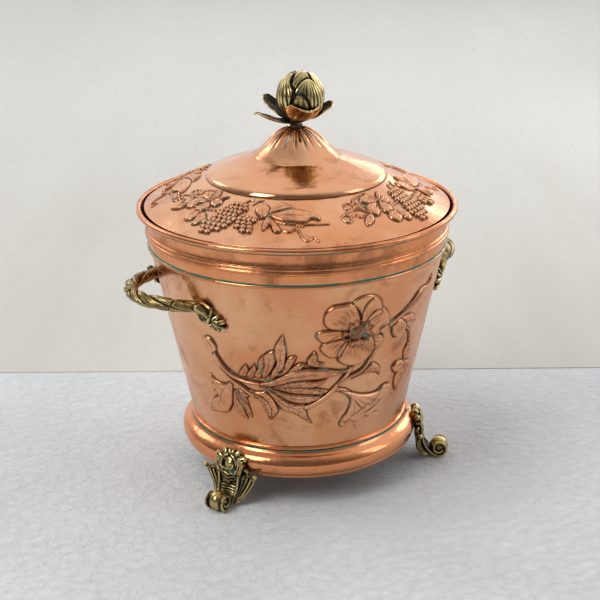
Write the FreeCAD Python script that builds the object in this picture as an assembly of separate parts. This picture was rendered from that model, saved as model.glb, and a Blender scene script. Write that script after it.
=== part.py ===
"""Lidded copper champagne bucket on three cast brass feet.

Units are millimetres. +Z is up, the origin is on the floor under the bucket's axis, -Y is the front
and the two handles lie along X. Sheet-metal shells are revolved profiles; castings are their plain
outer shapes. Every piece is exported as one STEP file in parts/.
"""

import math
import os

import FreeCAD, Part

V = FreeCAD.Vector
Z_AXIS = V(0, 0, 1)
ORIGIN = V(0, 0, 0)

# ---- driving dimensions -------------------------------------------------------------------------
SHEET = 1.2  # copper sheet of the bucket
LID_SHEET = 1.1  # copper sheet of the lid
BORE_CLEARANCE = 0.05  # room left round studs and screws

WALL_BOTTOM_Z = 57.9
WALL_BOTTOM_R = 113.06
WALL_SLOPE = 0.213  # radius gained per millimetre of height
WALL_HOOP_Z = 245.6  # the cone ends here and a short upright hoop begins
WALL_HOOP_R = 153.2
WALL_TOP_Z = 257.0

FLOOR_TOP_Z = 61.0
FLOOR_FLANGE_H = 2.5

COLLAR_BEAD_RADIUS = 1.9
COLLAR_BEAD_R = 154.1
COLLAR_BEAD_Z = 247.5
COLLAR_BOTTOM_Z = COLLAR_BEAD_Z + COLLAR_BEAD_RADIUS
COLLAR_BAND_R = 154.3
COLLAR_STEP_Z = 259.3
LEDGE_Z = 283.5
LEDGE_SHEET = 1.2
ROLL_R = 163.0
ROLL_Z = 286.0
ROLL_RADIUS = 2.7
RIM_WIRE_RADIUS = 1.7

BASE_BEAD_RADIUS = 2.1
BASE_BEAD_Z = 60.1
BASE_RING_SHEET = 1.4
BASE_RING_BOTTOM_Z = 31.5
BASE_RING_MAX_R = 126.0
BASE_RING_MAX_Z = 41.5
BASE_RING_FLANGE_R = 108.5

LID_EDGE_R = 157.2
LID_EDGE_Z = 288.0
LID_REST_GAP = 0.3
DOME_BASE_R = 93.3
DOME_BASE_Z = 316.2
PAN_INNER_R = 90.0
FLANGE_R = 152.0
FLANGE_BOTTOM_Z = 271.0
CONE_TOP_R = 15.0
CONE_TOP_Z = 364.0

STUD_RADIUS = 2.5
WASHER_THICK = 1.5
NECK_RADIUS = 6.5
NECK_TOP_Z = 369.0
BUD_RADIUS = 26.0
BUD_BOTTOM_Z = 372.0
BUD_SHIFT = 3.0  # the bud stands off the axis, as it was cast and bent in use
BUD_LEAN = 4.0  # degrees
BUD_LEAN_ANGLE = 65.0  # direction of the shift and the lean, round from the front

HANDLE_TUBE_R = 6.0
HANDLE_Z = 216.0
HANDLE_OUT_X = 182.8
HANDLE_TURNS = (180.5, 4.5)  # degrees from +X of the left and the right handle
BOW_RADIUS = 51.4
BOW_END_X = 162.4
BOW_HALF_WIDTH = 41.0
ARM_LENGTH = 50.0
GRIP_TILT = 3.5  # degrees
LEAF_ANGLE = 29.5  # degrees from the handle's middle to the middle of each leaf end
LEAF_Z = 204.5
LEAF_HALF_LENGTH = 17.0
LEAF_HALF_WIDTH = 10.5
LEAF_SLOPE = 36.0  # degrees that each leaf end runs down from the level
LEAF_HEIGHT = 6.5
STUD_DEPTH = 5.0  # how far each stud reaches into its leaf end
NUT_ACROSS_FLATS = 9.0
NUT_H = 4.0
HANDLE_WASHER_R = 7.0

FOOT_ANGLES = (-57.5, 62.5, 182.5)  # degrees round from the front, towards +X
FOOT_NAMES = ("foot_left", "foot_right", "foot_rear")
VOLUTE_R = 153.3
VOLUTE_RADIUS = 10.3
VOLUTE_Z = 10.0
VOLUTE_HALF_WIDTH = 9.5
FOOT_SCREW_HALF_ANGLE = 4.2
FOOT_SCREW_RADIUS = 2.0
FOOT_SCREW_LENGTH = 14.0
FOOT_NUT_ACROSS_FLATS = 7.5
FOOT_NUT_GAP = 1.2

os.makedirs("parts", exist_ok=True)


# ---- small helpers ------------------------------------------------------------------------------
def wall_r(z):
    """Outer radius of the bucket's cone at a height."""
    return WALL_BOTTOM_R + (z - WALL_BOTTOM_Z) * WALL_SLOPE


def at(r, z):
    """A point of a profile in the XZ plane."""
    return V(r, 0, z)


def line(a, b):
    return Part.LineSegment(at(*a), at(*b)).toShape()


def arc(a, mid, b):
    return Part.Arc(at(*a), at(*mid), at(*b)).toShape()


def smooth(points):
    """A smooth edge through the points of a profile."""
    curve = Part.BSplineCurve()
    curve.interpolate([at(*p) for p in points])
    return curve.toShape()


def face_of(edges):
    return Part.Face(Part.Wire(edges))


def polygon_face(points):
    corners = [at(*p) for p in points]
    return Part.Face(Part.makePolygon(corners + corners[:1]))


def revolved(face):
    return face.revolve(ORIGIN, Z_AXIS, 360)


def solid_of(shape):
    """The shape as its bare solid or solids, cleaned of seams left by booleans."""
    shape = shape.removeSplitter()
    solids = shape.Solids
    return solids[0] if len(solids) == 1 else Part.makeCompound(solids)


def save(name, shape):
    shape = solid_of(shape)
    if not shape.isValid():
        raise ValueError(name + " is not a valid solid")
    shape.exportStep("parts/" + name + ".step")
    volume = sum(s.Volume for s in shape.Solids)
    print(f"{name}: {len(shape.Solids)} solid(s), {volume / 1000:.2f} cm3")


def cylinder(radius, start, direction, length):
    return Part.makeCylinder(radius, length, start, direction)


def hex_prism(across_flats, height, start, direction):
    """A hexagonal nut blank standing on start and pointing along direction."""
    radius = across_flats / math.sqrt(3)
    corners = [V(radius * math.cos(math.radians(60 * k)), radius * math.sin(math.radians(60 * k)), 0)
               for k in range(6)]
    prism = Part.Face(Part.makePolygon(corners + corners[:1])).extrude(V(0, 0, height))
    prism.Placement = FreeCAD.Placement(start, FreeCAD.Rotation(Z_AXIS, direction))
    return prism


def turned(shape, degrees):
    copy = shape.copy()
    copy.rotate(ORIGIN, Z_AXIS, degrees)
    return copy


def front_angle_point(angle, radius, z):
    """A point at an angle round from the front (-Y) towards +X."""
    a = math.radians(angle)
    return V(radius * math.sin(a), -radius * math.cos(a), z)


# ---- bucket shell -------------------------------------------------------------------------------
def wall_envelope():
    """Everything inside the bucket's outer wall surface, as one solid."""
    top_r = wall_r(WALL_HOOP_Z)
    return revolved(polygon_face([(0, WALL_BOTTOM_Z), (WALL_BOTTOM_R, WALL_BOTTOM_Z), (top_r, WALL_HOOP_Z),
                                  (WALL_HOOP_R, WALL_HOOP_Z + 1), (WALL_HOOP_R, WALL_TOP_Z),
                                  (0, WALL_TOP_Z)]))


def bucket_wall():
    outer = [(WALL_BOTTOM_R, WALL_BOTTOM_Z), (wall_r(WALL_HOOP_Z), WALL_HOOP_Z),
             (WALL_HOOP_R, WALL_HOOP_Z + 1), (WALL_HOOP_R, WALL_TOP_Z)]
    inner = [(r - SHEET, z) for r, z in reversed(outer)]
    return revolved(polygon_face(outer + inner))


def bucket_floor():
    low = FLOOR_TOP_Z - SHEET
    high = FLOOR_TOP_Z + FLOOR_FLANGE_H
    edge = [wall_r(z) - SHEET for z in (low, high)]
    return revolved(polygon_face([(0, low), (edge[0], low), (edge[1], high), (edge[1] - SHEET, high),
                                  (wall_r(FLOOR_TOP_Z) - 2 * SHEET, FLOOR_TOP_Z), (0, FLOOR_TOP_Z)]))


def rim_collar():
    """The stepped neck hoop with its rolled rim. Its ledge carries the lid."""
    r, step_z = COLLAR_BAND_R, COLLAR_STEP_Z
    under_z = LEDGE_Z - LEDGE_SHEET
    edges = [line((WALL_HOOP_R, COLLAR_BOTTOM_Z), (r, COLLAR_BOTTOM_Z)),
             line((r, COLLAR_BOTTOM_Z), (r, step_z)),
             line((r, step_z), (r + 1.6, step_z + 0.6)),
             arc((r + 1.6, step_z + 0.6), (r + 3.2, step_z + 2.6), (r + 1.8, step_z + 4.4)),
             arc((r + 1.8, step_z + 4.4), (r + 3.0, step_z + 6.4), (r + 1.2, step_z + 8.3)),
             arc((r + 1.2, step_z + 8.3), (r + 0.2, step_z + 15.0), (r + 0.8, under_z - 1.2)),
             arc((r + 0.8, under_z - 1.2), (r + 1.3, under_z - 0.4), (r + 2.4, under_z)),
             line((r + 2.4, under_z), (ROLL_R, under_z)),
             line((ROLL_R, under_z), (ROLL_R, LEDGE_Z)),
             line((ROLL_R, LEDGE_Z), (WALL_HOOP_R, LEDGE_Z)),
             line((WALL_HOOP_R, LEDGE_Z), (WALL_HOOP_R, COLLAR_BOTTOM_Z))]
    hoop = revolved(face_of(edges))
    roll = Part.makeTorus(ROLL_R, ROLL_RADIUS, V(0, 0, ROLL_Z))
    return hoop.fuse(roll).cut(rim_wire())


def rim_wire():
    return Part.makeTorus(ROLL_R, RIM_WIRE_RADIUS, V(0, 0, ROLL_Z))


def bead(radius, centre_r, centre_z, depth, lean):
    """A round bead flat against a wall that leans out by an angle and lies a depth behind its middle."""
    half = math.sqrt(radius ** 2 - depth ** 2)
    out = (math.cos(lean), -math.sin(lean))
    up = (math.sin(lean), math.cos(lean))
    high = (centre_r - out[0] * depth + up[0] * half, centre_z - out[1] * depth + up[1] * half)
    low = (centre_r - out[0] * depth - up[0] * half, centre_z - out[1] * depth - up[1] * half)
    front = (centre_r + out[0] * radius, centre_z + out[1] * radius)
    return revolved(face_of([arc(high, front, low), line(low, high)]))


def collar_bead():
    """The bead in the corner under the collar, on the wall's upright hoop."""
    return bead(COLLAR_BEAD_RADIUS, COLLAR_BEAD_R, COLLAR_BEAD_Z, COLLAR_BEAD_R - WALL_HOOP_R, 0.0)


def base_bead():
    """The bead where the wall meets the plinth ring."""
    lean = math.atan(WALL_SLOPE)
    return bead(BASE_BEAD_RADIUS, wall_r(BASE_BEAD_Z) + 0.3, BASE_BEAD_Z, 0.3 * math.cos(lean), lean)


def base_ring_outline():
    """Outer surface of the plinth ring from its top flange down to its foot."""
    top = (WALL_BOTTOM_R + 2.6, WALL_BOTTOM_Z)
    waist = (119.4, WALL_BOTTOM_Z - 4.3)
    belly = (BASE_RING_MAX_R, BASE_RING_MAX_Z)
    groove = (124.2, BASE_RING_MAX_Z - 5.5)
    lip = (123.7, BASE_RING_MAX_Z - 6.3)
    band = (124.0, BASE_RING_MAX_Z - 7.3)
    foot_edge = (122.6, BASE_RING_BOTTOM_Z)
    return [arc(top, (117.0, WALL_BOTTOM_Z - 2.5), waist), arc(waist, (124.2, BASE_RING_MAX_Z + 7.5), belly),
            arc(belly, (125.8, BASE_RING_MAX_Z - 2.7), groove), line(groove, lip), line(lip, band),
            line(band, foot_edge)]


def base_ring():
    edges = base_ring_outline()
    first, last = edges[0].Vertexes[0].Point, edges[-1].Vertexes[-1].Point
    t = BASE_RING_SHEET
    shelf_z = WALL_BOTTOM_Z - t
    inner = [(last.x - t, last.z), (121.6, BASE_RING_MAX_Z - 5.0), (BASE_RING_MAX_R - t, BASE_RING_MAX_Z),
             (122.4, BASE_RING_MAX_Z + 6.7), (118.2, shelf_z - 4.1), (115.6, shelf_z)]
    back = [line((last.x, last.z), inner[0]), line(inner[0], inner[1]),
            arc(inner[1], (124.2, BASE_RING_MAX_Z - 2.9), inner[2]),
            arc(inner[2], (124.2, BASE_RING_MAX_Z + 3.5), inner[3]),
            line(inner[3], inner[4]), line(inner[4], inner[5]),
            line(inner[5], (BASE_RING_FLANGE_R, shelf_z)),
            line((BASE_RING_FLANGE_R, shelf_z), (BASE_RING_FLANGE_R, WALL_BOTTOM_Z)),
            line((BASE_RING_FLANGE_R, WALL_BOTTOM_Z), (first.x, first.z))]
    return revolved(face_of(edges + back))


def base_envelope():
    """Everything inside the plinth ring's outer surface, used to seat the feet."""
    edges = base_ring_outline()
    first, last = edges[0].Vertexes[0].Point, edges[-1].Vertexes[-1].Point
    high = WALL_BOTTOM_Z + 8
    return revolved(face_of(edges + [
        line((last.x, last.z), (0, last.z)), line((0, last.z), (0, high)),
        line((0, high), (WALL_BOTTOM_R + 3.4, high)),
        line((WALL_BOTTOM_R + 3.4, high), (first.x, first.z))]))


# ---- lid ----------------------------------------------------------------------------------------
def pan_top(offset=0.0):
    """The pan's sloping top surface as an edge, moved down by an offset."""
    mid_r = (LID_EDGE_R + DOME_BASE_R) / 2
    mid_z = (LID_EDGE_Z + DOME_BASE_Z) / 2 + 1.2
    slope = (DOME_BASE_Z - LID_EDGE_Z) / (LID_EDGE_R - DOME_BASE_R)
    inner_z = DOME_BASE_Z + slope * (DOME_BASE_R - PAN_INNER_R) - 0.4
    return arc((LID_EDGE_R, LID_EDGE_Z - offset), (mid_r, mid_z - offset), (PAN_INNER_R, inner_z - offset))


def lid_pan():
    top, under = pan_top(), pan_top(LID_SHEET * 1.08)
    outer, inner = top.Vertexes[0].Point, top.Vertexes[-1].Point
    skirt = LID_EDGE_R - LID_SHEET
    foot_z = LEDGE_Z + LID_REST_GAP
    under_parts = under.common(Part.makeBox(400, 400, 400, V(skirt - 400, -200, 200)))
    under_outer = max((v.Point for v in under_parts.Vertexes), key=lambda p: p.x)
    under_inner = min((v.Point for v in under_parts.Vertexes), key=lambda p: p.x)
    edges = [top, line((inner.x, inner.z), (under_inner.x, under_inner.z))]
    edges += list(under_parts.Edges)
    edges += [line((under_outer.x, under_outer.z), (skirt, foot_z)),
              line((skirt, foot_z), (LID_EDGE_R, foot_z)),
              line((LID_EDGE_R, foot_z), (outer.x, outer.z))]
    return revolved(Part.Face(Part.Wire(Part.__sortEdges__(edges))))


def under_pan():
    """The space under the pan's lower surface, which bounds the lid's locating flange."""
    under = pan_top(LID_SHEET * 1.08)
    outer, inner = under.Vertexes[0].Point, under.Vertexes[-1].Point
    return revolved(face_of([under, line((inner.x, inner.z), (inner.x, 200)),
                             line((inner.x, 200), (outer.x, 200)),
                             line((outer.x, 200), (outer.x, outer.z))]))


def lid_flange():
    ring = revolved(polygon_face([(FLANGE_R, FLANGE_BOTTOM_Z), (FLANGE_R, 310),
                                  (FLANGE_R - LID_SHEET, 310), (FLANGE_R - LID_SHEET, FLANGE_BOTTOM_Z)]))
    return ring.common(under_pan())


def dome_outline():
    """Points of the dome's outer surface, from the pan up over the shoulder and the cone."""
    return [(DOME_BASE_R, DOME_BASE_Z), (93.0, 318.3), (90.8, 321.3), (86.0, 323.6), (80.0, 325.7),
            (70.0, 329.2), (60.0, 332.6), (52.0, 335.2), (47.3, 337.0), (43.2, 339.6), (38.2, 343.9),
            (29.0, 353.2), (22.5, 359.2), (CONE_TOP_R, CONE_TOP_Z)]


def lid_dome():
    outline = dome_outline()
    curve = Part.BSplineCurve()
    curve.interpolate([at(*p) for p in outline])
    inner_points = []
    for r, z in outline:
        t = curve.parameter(at(r, z))
        tangent = curve.tangent(t)[0]
        inner_points.append(at(r + tangent.z * -LID_SHEET, z + tangent.x * LID_SHEET))
    inner = Part.BSplineCurve()
    inner.interpolate(inner_points)
    top_out, top_in = at(*outline[-1]), inner_points[-1]
    bore = STUD_RADIUS + BORE_CLEARANCE
    foot_out, foot_in = at(*outline[0]), inner_points[0]
    edges = [curve.toShape(), line((top_out.x, top_out.z), (bore, top_out.z)),
             line((bore, top_out.z), (bore, top_in.z)), line((bore, top_in.z), (top_in.x, top_in.z)),
             inner.toShape(), line((foot_in.x, foot_in.z), (foot_out.x, foot_out.z))]
    shell = revolved(Part.Face(Part.Wire(Part.__sortEdges__(edges))))
    return shell.cut(lid_pan())


# ---- finial -------------------------------------------------------------------------------------
def leant(shape):
    """The shape shifted and tipped as the bent finial is."""
    copy = shape.copy()
    sideways = front_angle_point(BUD_LEAN_ANGLE, BUD_SHIFT, 0)
    copy.rotate(V(0, 0, NECK_TOP_Z), Z_AXIS.cross(sideways), BUD_LEAN)
    copy.translate(sideways)
    return copy


def finial_bud():
    """A closed flower bud: a ball, bored for the stud."""
    ball = Part.makeSphere(BUD_RADIUS, V(0, 0, BUD_BOTTOM_Z + BUD_RADIUS))
    return leant(ball).cut(cylinder(STUD_RADIUS + BORE_CLEARANCE, at(0, BUD_BOTTOM_Z - 3), Z_AXIS, 19))


def sepal(angle, tilt, length, width):
    """One leaf of the calyx: a curved blade cut to a leaf outline, tilted up and turned into place."""
    thick = 1.6
    root_x, rise = 3.0, 7.0
    strip = face_of([arc((root_x, 0), (length * 0.55, -1.5), (length, rise)),
                     line((length, rise), (length - 0.4, rise + thick)),
                     arc((length - 0.4, rise + thick), (length * 0.55, thick - 1.5), (root_x, thick)),
                     line((root_x, thick), (root_x, 0))])
    blade = strip.extrude(V(0, 2 * width, 0))
    blade.translate(V(0, -width, 0))
    half = width / 2
    side = [(length * 0.35, half * 0.75), (length * 0.68, half), (length - 1, half * 0.45)]
    edge_points = [(root_x - 1, 0)] + side + [(length, 0)] + [(x, -y) for x, y in reversed(side)]
    outline = Part.BSplineCurve()
    outline.interpolate([V(x, y, -30) for x, y in edge_points], True)
    leaf = blade.common(Part.Face(Part.Wire(outline.toShape())).extrude(V(0, 0, 80)))
    leaf.rotate(ORIGIN, V(0, 1, 0), -tilt)
    leaf.rotate(ORIGIN, Z_AXIS, angle - 90)
    leaf.translate(V(0, 0, NECK_TOP_Z))
    return leaf


# each leaf's direction round from the front, its tilt, its length and its width
SEPALS = ((0.0, 24.0, 34.0, 36.0), (-108.0, 8.0, 44.0, 22.0), (-142.0, 18.0, 45.0, 22.0),
          (75.0, 10.0, 41.0, 24.0), (160.0, 20.0, 40.0, 28.0))


def finial_sepals():
    plate = cylinder(8.0, V(0, 0, NECK_TOP_Z), Z_AXIS, BUD_BOTTOM_Z - NECK_TOP_Z)
    for angle, tilt, length, width in SEPALS:
        plate = plate.fuse(sepal(angle, tilt, length, width))
    plate = plate.cut(Part.makeBox(200, 200, 20, V(-100, -100, NECK_TOP_Z - 20)))
    plate = plate.cut(finial_bud())
    return plate.cut(cylinder(STUD_RADIUS + BORE_CLEARANCE, V(0, 0, NECK_TOP_Z - 1), Z_AXIS, 20))


def finial_neck():
    neck = cylinder(NECK_RADIUS, V(0, 0, CONE_TOP_Z), Z_AXIS, NECK_TOP_Z - CONE_TOP_Z)
    return neck.cut(cylinder(STUD_RADIUS + BORE_CLEARANCE, V(0, 0, CONE_TOP_Z - 1), Z_AXIS, 10))


def finial_fasteners():
    """Stud, washer and nut that pull the finial down on the lid's cone."""
    under = CONE_TOP_Z - LID_SHEET
    stud_low = under - WASHER_THICK - NUT_H - 2.0
    stud = cylinder(STUD_RADIUS, V(0, 0, stud_low), Z_AXIS, BUD_BOTTOM_Z + 15 - stud_low)
    hole = cylinder(STUD_RADIUS + BORE_CLEARANCE, V(0, 0, stud_low - 1), Z_AXIS, 40)
    washer = cylinder(8.0, V(0, 0, under - WASHER_THICK), Z_AXIS, WASHER_THICK).cut(hole)
    nut = hex_prism(NUT_ACROSS_FLATS, NUT_H, V(0, 0, under - WASHER_THICK - NUT_H), Z_AXIS).cut(hole)
    return stud, washer, nut


# ---- handles ------------------------------------------------------------------------------------
def leaf_frame(side):
    """Middle of a leaf end on the wall, and the wall's outward normal there, for a handle along +X."""
    a = math.radians(side * LEAF_ANGLE)
    lean = math.atan(WALL_SLOPE)
    r = wall_r(LEAF_Z)
    middle = V(r * math.cos(a), r * math.sin(a), LEAF_Z)
    normal = V(math.cos(a) * math.cos(lean), math.sin(a) * math.cos(lean), -math.sin(lean))
    return middle, normal


def wall_cone(clear):
    """The cone of the wall over the handles' height, made larger by a clearance."""
    low, high = 150.0, WALL_HOOP_Z
    return Part.makeCone(wall_r(low) + clear, wall_r(high) + clear, high - low, V(0, 0, low))


def leaf_end(side):
    """A raised oval on the wall, its long axis running down and away from the grip."""
    oval = Part.Face(Part.Wire(Part.Ellipse(ORIGIN, LEAF_HALF_LENGTH, LEAF_HALF_WIDTH).toShape()))
    prism = oval.extrude(V(0, 0, 30))
    middle, normal = leaf_frame(side)
    start = middle - normal * 8
    around = Z_AXIS.cross(normal).normalize()
    up = normal.cross(around)
    slope = math.radians(LEAF_SLOPE)
    along = around * (side * math.cos(slope)) - up * math.sin(slope)
    across = normal.cross(along)
    prism.Placement = FreeCAD.Placement(FreeCAD.Matrix(
        along.x, across.x, normal.x, start.x, along.y, across.y, normal.y, start.y,
        along.z, across.z, normal.z, start.z, 0, 0, 0, 1))
    return prism.common(wall_cone(LEAF_HEIGHT))


def grip():
    """The bowed grip of a handle along +X: a round bow between two straight arms, tilted down
    towards the wall."""
    centre_x = HANDLE_OUT_X - BOW_RADIUS
    heading = math.atan2(BOW_HALF_WIDTH, BOW_END_X - centre_x)
    arm = V(-math.sin(heading), math.cos(heading), 0) * ARM_LENGTH
    end = V(BOW_END_X, BOW_HALF_WIDTH, HANDLE_Z)
    apex = V(HANDLE_OUT_X, 0, HANDLE_Z)
    other = V(end.x, -end.y, end.z)
    other_arm = V(arm.x, -arm.y, 0)
    path = Part.Wire([Part.LineSegment(end + arm, end).toShape(), Part.Arc(end, apex, other).toShape(),
                      Part.LineSegment(other, other + other_arm).toShape()])
    ring = Part.Wire(Part.makeCircle(HANDLE_TUBE_R, end + arm, arm))
    rod = path.makePipeShell([ring], True, True)
    rod.rotate(apex, V(0, 1, 0), -GRIP_TILT)
    return rod


def stud_start(side, inside):
    middle, normal = leaf_frame(side)
    return middle - normal * inside, normal


def handle():
    shape = grip().fuse(leaf_end(1)).fuse(leaf_end(-1)).cut(wall_cone(0.0))
    for side in (1, -1):
        base, normal = stud_start(side, 1.0)
        shape = shape.cut(cylinder(STUD_RADIUS + BORE_CLEARANCE, base, normal, STUD_DEPTH + 1.5))
    return shape


def handle_fasteners():
    """Studs, washers and nuts of one handle, which clamp its leaf ends through the wall."""
    studs, washers, nuts = [], [], []
    for side in (1, -1):
        inner = SHEET + 0.25
        stack = inner + WASHER_THICK + NUT_H
        base, normal = stud_start(side, stack + 1.5)
        hole = cylinder(STUD_RADIUS + BORE_CLEARANCE, base, normal, stack + 10)
        studs.append(cylinder(STUD_RADIUS, base, normal, stack + 1.5 + STUD_DEPTH))
        washer_base, _ = stud_start(side, inner + WASHER_THICK)
        washers.append(cylinder(HANDLE_WASHER_R, washer_base, normal, WASHER_THICK).cut(hole))
        nut_base, _ = stud_start(side, stack)
        nuts.append(hex_prism(NUT_ACROSS_FLATS, NUT_H, nut_base, normal).cut(hole))
    return studs, washers, nuts


def drill_wall(wall):
    """Bores the wall for the four handle studs."""
    for turn in HANDLE_TURNS:
        for side in (1, -1):
            base, normal = stud_start(side, 4.0)
            wall = wall.cut(turned(cylinder(STUD_RADIUS + BORE_CLEARANCE, base, normal, 8.0), turn))
    return wall


# ---- feet ---------------------------------------------------------------------------------------
def foot_side():
    """The foot seen from its side: crest and belly, ankle, volute, flat pad and hollowed back."""
    volute_start = (VOLUTE_R - 7.3, VOLUTE_Z + 7.27)
    half_pad = math.sqrt(VOLUTE_RADIUS ** 2 - VOLUTE_Z ** 2)
    pad_out, pad_in = (VOLUTE_R + half_pad, 0), (VOLUTE_R - half_pad, 0)
    volute_mid = (VOLUTE_R + VOLUTE_RADIUS * 0.866, VOLUTE_Z + VOLUTE_RADIUS * 0.5)
    sole = (145.0, 0.35)
    top, back = (114.0, 58.2), (114.0, 33.0)
    return face_of([
        smooth([top, (118.0, 58.7), (123.6, 56.0), (130.0, 50.0), (135.0, 43.6), (136.6, 37.0),
                (136.0, 30.0), (136.8, 24.0), (140.4, 18.8), volute_start]),
        arc(volute_start, volute_mid, pad_out), line(pad_out, pad_in), line(pad_in, sole),
        smooth([sole, (138.0, 2.2), (130.8, 6.6), (126.0, 12.7), (124.2, 20.0), (123.0, 26.0), back]),
        line(back, top)])


FOOT_FRONT = [(0.0, 58.8), (8.0, 58.0), (14.5, 53.5), (18.8, 47.5), (19.5, 41.0), (21.5, 36.5),
              (31.5, 34.5), (30.5, 30.5), (25.0, 23.0), (19.0, 14.0), (13.0, 6.5), (10.0, 3.0),
              (9.5, 0.0)]


def foot():
    """One cast scroll foot facing the front: its side outline and its front outline, crossed."""
    half_depth = 40
    side = foot_side().extrude(V(0, 2 * half_depth, 0))
    side.translate(V(0, -half_depth, 0))
    side.rotate(ORIGIN, Z_AXIS, -90)
    outline = FOOT_FRONT + [(-t, z) for t, z in reversed(FOOT_FRONT[1:])]
    front = Part.Face(Part.makePolygon([V(t, 0, z) for t, z in outline + outline[:1]]))
    front = front.extrude(V(0, -200, 0))
    shape = side.common(front).cut(base_envelope())
    for side_x in (VOLUTE_HALF_WIDTH, -VOLUTE_HALF_WIDTH - half_depth):
        shape = shape.cut(Part.makeBox(half_depth, half_depth, 30, V(side_x, -141.5 - half_depth, -1)))
    return shape


def foot_screw_axis(side):
    a = math.radians(side * FOOT_SCREW_HALF_ANGLE)
    return V(math.sin(a), -math.cos(a), 0)


def foot_fasteners():
    """The two screws of one foot and the nuts inside the plinth ring."""
    screws, nuts = [], []
    for side in (1, -1):
        out = foot_screw_axis(side)
        nut_r = BASE_RING_MAX_R - BASE_RING_SHEET - FOOT_NUT_GAP - NUT_H
        nut_start = out * nut_r + V(0, 0, BASE_RING_MAX_Z)
        screw_start = out * (nut_r - 1.5) + V(0, 0, BASE_RING_MAX_Z)
        hole = cylinder(FOOT_SCREW_RADIUS + BORE_CLEARANCE, screw_start, out, 20)
        screws.append(cylinder(FOOT_SCREW_RADIUS, screw_start, out, FOOT_SCREW_LENGTH))
        nuts.append(hex_prism(FOOT_NUT_ACROSS_FLATS, NUT_H, nut_start, out).cut(hole))
    return screws, nuts


def foot_holes():
    holes = []
    for side in (1, -1):
        out = foot_screw_axis(side)
        start = out * 112 + V(0, 0, BASE_RING_MAX_Z)
        holes.append(cylinder(FOOT_SCREW_RADIUS + BORE_CLEARANCE, start, out, 21.2))
    return holes


# ---- build and export ---------------------------------------------------------------------------
def build_bucket():
    save("bucket_wall", drill_wall(bucket_wall()))
    save("bucket_floor", bucket_floor())
    save("rim_collar", rim_collar())
    save("rim_wire", rim_wire())
    save("collar_bead", collar_bead())
    save("base_bead", base_bead())


def build_base():
    ring = base_ring()
    casting = foot()
    screws, nuts = foot_fasteners()
    for hole in foot_holes():
        casting = casting.cut(hole)
    all_screws, all_nuts = [], []
    for name, angle in zip(FOOT_NAMES, FOOT_ANGLES):
        save(name, turned(casting, angle))
        all_screws += [turned(s, angle) for s in screws]
        all_nuts += [turned(n, angle) for n in nuts]
        for hole in foot_holes():
            ring = ring.cut(turned(hole, angle))
    save("base_ring", ring)
    save("foot_screws", Part.makeCompound(all_screws))
    save("foot_nuts", Part.makeCompound(all_nuts))


def build_handles():
    shape = handle()
    groups = handle_fasteners()
    for name, turn in zip(("handle_left", "handle_right"), HANDLE_TURNS):
        save(name, turned(shape, turn))
    for name, pieces in zip(("handle_studs", "handle_washers", "handle_nuts"), groups):
        save(name, Part.makeCompound([turned(p, turn) for turn in HANDLE_TURNS for p in pieces]))


def build_lid():
    save("lid_pan", lid_pan())
    save("lid_flange", lid_flange())
    save("lid_dome", lid_dome())
    save("finial_neck", finial_neck())
    save("finial_sepals", finial_sepals())
    save("finial_bud", finial_bud())
    for name, piece in zip(("finial_stud", "finial_washer", "finial_nut"), finial_fasteners()):
        save(name, piece)


build_bucket()
build_base()
build_handles()
build_lid()
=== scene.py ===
"""Looks of the lidded copper champagne bucket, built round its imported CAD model.

Sheet pieces with embossing are displaced meshes made from drawn outlines. Castings are meshes drawn
from distance fields. Lengths in this script are millimetres unless a name or comment says metres.
"""

import math

import bpy
import numpy as np
from mathutils import Matrix, Vector


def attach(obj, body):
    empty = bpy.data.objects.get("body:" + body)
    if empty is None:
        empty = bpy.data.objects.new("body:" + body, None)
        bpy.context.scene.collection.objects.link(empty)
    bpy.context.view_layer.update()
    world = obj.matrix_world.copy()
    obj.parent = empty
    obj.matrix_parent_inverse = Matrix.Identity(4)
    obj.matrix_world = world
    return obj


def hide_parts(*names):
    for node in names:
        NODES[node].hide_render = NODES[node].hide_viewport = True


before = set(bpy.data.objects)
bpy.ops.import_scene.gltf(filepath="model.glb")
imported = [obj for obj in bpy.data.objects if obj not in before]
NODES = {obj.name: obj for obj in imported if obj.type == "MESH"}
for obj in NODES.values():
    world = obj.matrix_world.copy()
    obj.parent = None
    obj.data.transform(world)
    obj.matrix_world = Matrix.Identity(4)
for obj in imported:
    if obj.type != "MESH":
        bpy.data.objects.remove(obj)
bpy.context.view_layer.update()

TAU = 2 * math.pi

# ---- sizes shared with the CAD model ----
WALL_LOW_Z, WALL_LOW_R, WALL_SLOPE = 57.9, 113.06, 0.213
WALL_HIGH_Z, HOOP_R, HOOP_TOP_Z = 245.6, 153.2, 257.0
SHEET = 1.2
PAN_EDGE_R, PAN_EDGE_Z, PAN_FOOT_Z = 157.2, 288.0, 283.8
DOME_R, DOME_Z, PAN_INNER_R = 93.3, 316.2, 90.0
LID_SHEET = 1.1


def smoothstep(low, high, x):
    t = np.clip((x - low) / (high - low), 0, 1)
    return t * t * (3 - 2 * t)


# ---- meshes ----
def placed(name, data):
    """A new object with the given data, linked into the scene."""
    thing = bpy.data.objects.new(name, data)
    bpy.context.collection.objects.link(thing)
    return thing


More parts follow.
